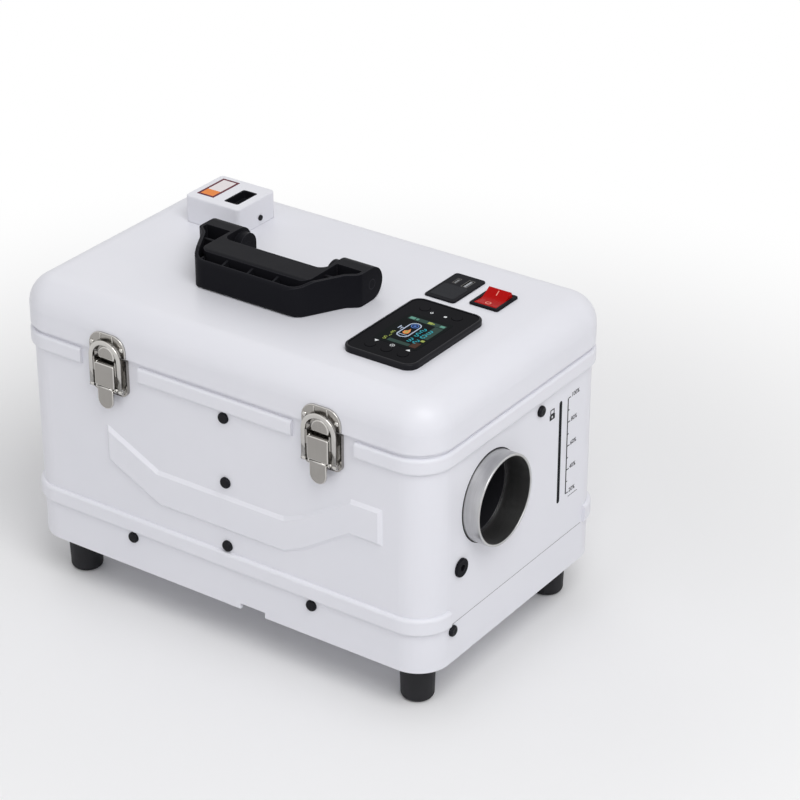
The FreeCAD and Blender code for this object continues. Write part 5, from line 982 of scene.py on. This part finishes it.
class HEATER_OT_latches(bpy.types.Operator):
    """Rounded bails, levers and keepers of the toggle latches, in place of the plain ones"""

    bl_idname = "heater.latches"
    bl_label = "Latches"

    def execute(self, context):
        latch = context.scene.heater_latch
        # The second finish is a paler nickel: a painted highlight on rounded edges
        highlight_nickel = context.scene.heater_finishes.highlight_nickel
        nickel = [finish_of("latch_bases"), metal("polished_nickel", highlight_nickel, roughness=0.12,
                                                  stretch=(1.0, 1.0, 0.2))]
        keepers = bmesh.new()
        for side in ("left", "right"):
            for kind, build in (("bail", self.bail), ("lever", self.lever)):
                body = f"{kind}_{side}"
                shape = build(latch, *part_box("latch_" + body))
                piece = make_piece(shape, "rounded_" + body, nickel, body)
                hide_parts("latch_" + body)
            centre = middle("latch_bail_" + side)[0].x
            self.keeper(keepers, latch, centre, *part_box("latch_keepers"))
        piece = make_piece(keepers, "rounded_keepers", nickel, "lid")
        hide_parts("latch_keepers")
        return {"FINISHED"}

    def plate(self, shape, centre, outline, back, front, rounding):
        """Upright plate with a rounded front edge."""
        edge = circle(rounding, sweep=math.pi / 2, steps=EDGE_STEPS)
        rows = [(0.0, back)] + [(rounding - u, front + rounding - v) for u, v in edge]
        skin(shape, [[(centre + u, y, v) for u, v in aside(outline, -inset, True)]
                     for inset, y in rows])

    def rings(self, pivot, rings):
        """Points round a pin along X, from the place and radius of each ring."""
        return [[(x, pivot.y + y, pivot.z + z) for y, z in circle(radius, steps=PIN_STEPS)]
                for x, radius in rings]

    def tube(self, shape, ends, pivot, outer, pin):
        """Eye round a pin."""
        inner = pin + PIN_PLAY
        rings = [(ends[0], outer), (ends[1], outer), (ends[1], inner), (ends[0], inner)]
        skin(shape, self.rings(pivot, rings), True)

    def rod(self, shape, centre, half, pivot, radius):
        """Round bar along X."""
        skin(shape, self.rings(pivot, [(centre - half, radius), (centre + half, radius)]))

    def bail_eye(self, low, high):
        """Radius and middle of the eye at the foot of a bail's box."""
        radius = (high.y - low.y) / 2
        return radius, Vector((0.0, low.y + radius, low.z + radius))

    def bail(self, latch, low, high):
        """Band of rounded section over an arch, with an eye round the pin at each foot."""
        shape = bmesh.new()
        centre = (low.x + high.x) / 2
        eye, pivot = self.bail_eye(low, high)
        half = latch.leg / 2
        reach = latch.width / 2 - half
        crown = high.z - half - reach
        foot = pivot.z + eye - latch.band / 2
        arch = circle(1.0, sweep=math.pi, steps=PIN_STEPS)
        line = [(reach * nu, crown + reach * nv, nu, nv) for nu, nv in arch]
        line = [(reach, foot, 1.0, 0.0), *line, (-reach, foot, -1.0, 0.0)]
        section = rounded(-half, half, 0.0, latch.band, BAND_CORNER * latch.band)
        skin(shape, [[(centre + u + s * nu, low.y + t, v + s * nv) for s, t in section]
                     for u, v, nu, nv in line])
        for way in (-1.0, 1.0):
            ends = (centre + way * (reach - half), centre + way * (reach + half))
            self.tube(shape, ends, pivot, eye, BAIL_PIN)
        return shape

    def lever(self, latch, low, high):
        """Face plate with cheeks, a narrower pull tab under a rolled edge, and the bail's pin."""
        shape = bmesh.new()
        centre = (low.x + high.x) / 2
        front, top, sheet = low.y, high.z, latch.lever_sheet
        half, tab = latch.lever_width / 2, latch.tab_width / 2
        fold = top - latch.tab_drop
        head = rounded(-half, half, fold + HEAD_GAP, top + HEAD_RISE, HEAD_CORNER)
        self.plate(shape, centre, head, front + sheet, front, HEAD_EDGE * sheet)
        end = circle(tab, 0.0, low.z + tab, math.pi, math.pi, RIVET_STEPS)
        end += [(tab, fold), (-tab, fold)]
        face = front + TAB_IN * sheet
        self.plate(shape, centre, end, face + sheet, face, sheet / 2)
        bridge = rounded(BRIDGE_SIDE - half, half - BRIDGE_SIDE, fold - BRIDGE_DROP,
                         fold + BRIDGE_RISE, BRIDGE_CORNER)
        self.plate(shape, centre, bridge, front + BRIDGE_BACK * sheet, front + sheet,
                   BRIDGE_EDGE * sheet)
        roll = Vector((0.0, front + sheet / 2, fold))
        self.rod(shape, centre, tab, roll, ROLL_RADIUS * sheet)
        bail_pin = self.bail_eye(*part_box("latch_bail_left"))[1]
        self.rod(shape, centre, latch.width / 2 + PIN_PLAY, bail_pin, BAIL_PIN)
        lever_pin = Vector((0.0, front + LEVER_PIN_IN, top - LEVER_PIN))
        cheek = box_points(front + sheet / 2, high.y, bail_pin.z + CHEEK_FOOT * BAIL_PIN,
                           lever_pin.z - CHEEK_HEAD * LEVER_PIN)
        for way in (-1.0, 1.0):
            ends = (centre + way * (half - sheet), centre + way * half)
            self.tube(shape, ends, bail_pin, BAIL_EYE * BAIL_PIN, BAIL_PIN)
            self.tube(shape, ends, lever_pin, LEVER_EYE * LEVER_PIN, LEVER_PIN)
            skin(shape, [[(x, y, z) for y, z in cheek] for x in ends])
        return shape

    def keeper(self, shape, latch, centre, low, high):
        """Plate with round shoulders, a domed hook, two ridges and two rivets."""
        half, hook, shoulder = latch.plate_width / 2, latch.hook_width / 2, latch.shoulder
        top, foot, sheet = high.z - PLATE_DROP, low.z, latch.sheet
        face = high.y - sheet
        outline = [(-half, foot + PLATE_FOOT), (half, foot + PLATE_FOOT)]
        for turn, u in ((0.0, half - shoulder), (math.pi / 2, shoulder - half)):
            outline += circle(shoulder, u, top - shoulder, turn, math.pi / 2, FINE_STEPS)
        self.plate(shape, centre, outline, high.y, face, PLATE_EDGE * sheet)
        dome = circle(hook, 0.0, foot + latch.hook_height - hook, 0.0, math.pi, PIN_STEPS)
        dome += [(-hook, foot - HOOK_DROP), (hook, foot - HOOK_DROP)]
        self.plate(shape, centre, dome, face + sheet / 2, low.y, HOOK_EDGE * (face - low.y))
        for way in (-1.0, 1.0):
            u = way * RIDGE_SIDE
            ridge = rounded(u - RIDGE_HALF, u + RIDGE_HALF, top - RIDGE_FOOT, top - RIDGE_HEAD,
                            RIDGE_CORNER)
            self.plate(shape, centre, ridge, face, face - RIDGE_OUT * sheet, RIDGE_EDGE * sheet)
            place = Vector((centre + way * RIVET_SIDE, face, high.z - RIVET_DROP))
            skin(shape, [[place + latch.rivet * Vector((x, -height, z))
                          for x, z in circle(radius, steps=RIVET_STEPS)]
                         for radius, height in RIVET_RINGS])


# Floor, lamps with their sizes and places, and the camera's right, up and back, in metres
FLOOR_SIZE, FLOOR_PARTS, PAPER_SCALE = 8.0, 8, 3.0
LAMPS = (("key", 1.6, (1.3, -0.85, 2.05)), ("fill", 1.4, (-1.5, 1.0, 1.5)),
         ("front", 1.4, (-0.4, -2.0, 1.2)))
LIT_POINT = Vector((0.0, 0.0, 0.15))
CAMERA_AXES = ((0.8198, 0.5727, 0.0), (-0.2714, 0.3884, 0.8808), (0.5044, -0.7220, 0.4738))
SENSOR_WIDTH = 36.0


class HEATER_OT_stage(bpy.types.Operator):
    """Pale floor, soft light and the camera"""

    bl_idname = "heater.stage"
    bl_label = "Stage"

    def execute(self, context):
        stage = context.scene.heater_stage
        context.scene.view_settings.view_transform = "Standard"
        self.add_floor(stage)
        self.add_sky(context.scene, stage)
        for name, size, place in LAMPS:
            self.add_lamp(name, getattr(stage, name), size, Vector(place))
        self.add_camera(context.scene, stage)
        return {"FINISHED"}

    def add_floor(self, stage):
        """Floor that shows shade near the heater and fades to white."""
        grid = bmesh.new()
        bmesh.ops.create_grid(grid, x_segments=FLOOR_PARTS, y_segments=FLOOR_PARTS,
                              size=FLOOR_SIZE)
        material, tree = new_finish("floor")
        paper = tree.noise(PAPER_SCALE).mix(opaque(stage.floor), opaque(shaded(stage.floor, 0.985)))
        sheet = tree.node("ShaderNodeBsdfPrincipled", {}, {"Base Color": paper, "Roughness": 0.9})
        glow = tree.node("ShaderNodeEmission", {}, {"Color": WHITE, "Strength": 1.0})
        far = tree.node("ShaderNodeMapRange", {"interpolation_type": "SMOOTHSTEP"}, {
            "Value": tree.vector("LENGTH", tree.place(), output="Value"),
            "From Min": stage.near, "From Max": stage.far})
        mixed = tree.node("ShaderNodeMixShader", {}, {0: tree.seen() * far, 1: sheet, 2: glow})
        tree.node("ShaderNodeOutputMaterial", {}, {"Surface": mixed})
        add_mesh(grid, "floor", [material])

    def add_sky(self, scene, stage):
        """White where it is seen, dimmer as a light."""
        scene.world = bpy.data.worlds.new("sky")
        scene.world.use_nodes = True
        scene.world.node_tree.nodes.clear()
        tree = Signal(scene.world.node_tree)
        strength = tree.seen() * (1.0 - stage.sky) + stage.sky
        light = tree.node("ShaderNodeBackground", {}, {"Color": WHITE, "Strength": strength})
        tree.node("ShaderNodeOutputWorld", {}, {"Surface": light})

    def add_lamp(self, name, power, size, place):
        lamp = bpy.data.lights.new(name, "AREA")
        lamp.energy = power
        lamp.shape = "DISK"
        lamp.size = size
        holder = add_object(name, lamp)
        holder.location = place
        holder.rotation_euler = (LIT_POINT - place).to_track_quat("-Z", "Y").to_euler()

    def add_camera(self, scene, stage):
        camera = bpy.data.cameras.new("camera")
        camera.lens = stage.lens
        camera.sensor_width = SENSOR_WIDTH
        scene.camera = add_object("camera", camera)
        turn = Matrix(CAMERA_AXES).transposed().to_4x4()
        scene.camera.matrix_world = Matrix.Translation(stage.eye) @ turn


OPERATORS = (
    HEATER_OT_case, HEATER_OT_black_mouldings, HEATER_OT_hardware, HEATER_OT_inside,
    HEATER_OT_controls, HEATER_OT_wall_marks, HEATER_OT_filler_label, HEATER_OT_screw_drives,
    HEATER_OT_inner_ribs, HEATER_OT_latches, HEATER_OT_stage,
)
GROUPS = {
    "heater_finishes": HEATER_PG_finishes, "heater_marks": HEATER_PG_marks,
    "heater_latch": HEATER_PG_latch, "heater_stage": HEATER_PG_stage,
}


class HEATER_PT_parts(bpy.types.Panel):
    """The heater's settings and steps"""

    bl_idname = "HEATER_PT_parts"
    bl_label = "Carry-case air heater"
    bl_space_type = "VIEW_3D"
    bl_region_type = "UI"
    bl_category = "Heater"

    def draw(self, context):
        for kind in OPERATORS:
            self.layout.operator(kind.bl_idname)
        for group in GROUPS:
            settings = getattr(context.scene, group)
            for name in settings.bl_rna.properties.keys():
                if name not in ("rna_type", "name"):
                    self.layout.prop(settings, name)


def register():
    for kind in (*GROUPS.values(), *OPERATORS, HEATER_PT_parts):
        bpy.utils.register_class(kind)
    for name, kind in GROUPS.items():
        setattr(bpy.types.Scene, name, PointerProperty(type=kind))


def unregister():
    for name in GROUPS:
        delattr(bpy.types.Scene, name)
    for kind in (HEATER_PT_parts, *reversed(OPERATORS), *GROUPS.values()):
        bpy.utils.unregister_class(kind)


def main():
    register()
    for kind in OPERATORS:
        group, name = kind.bl_idname.split(".")
        getattr(getattr(bpy.ops, group), name)()


if __name__ == "__main__":
    main()
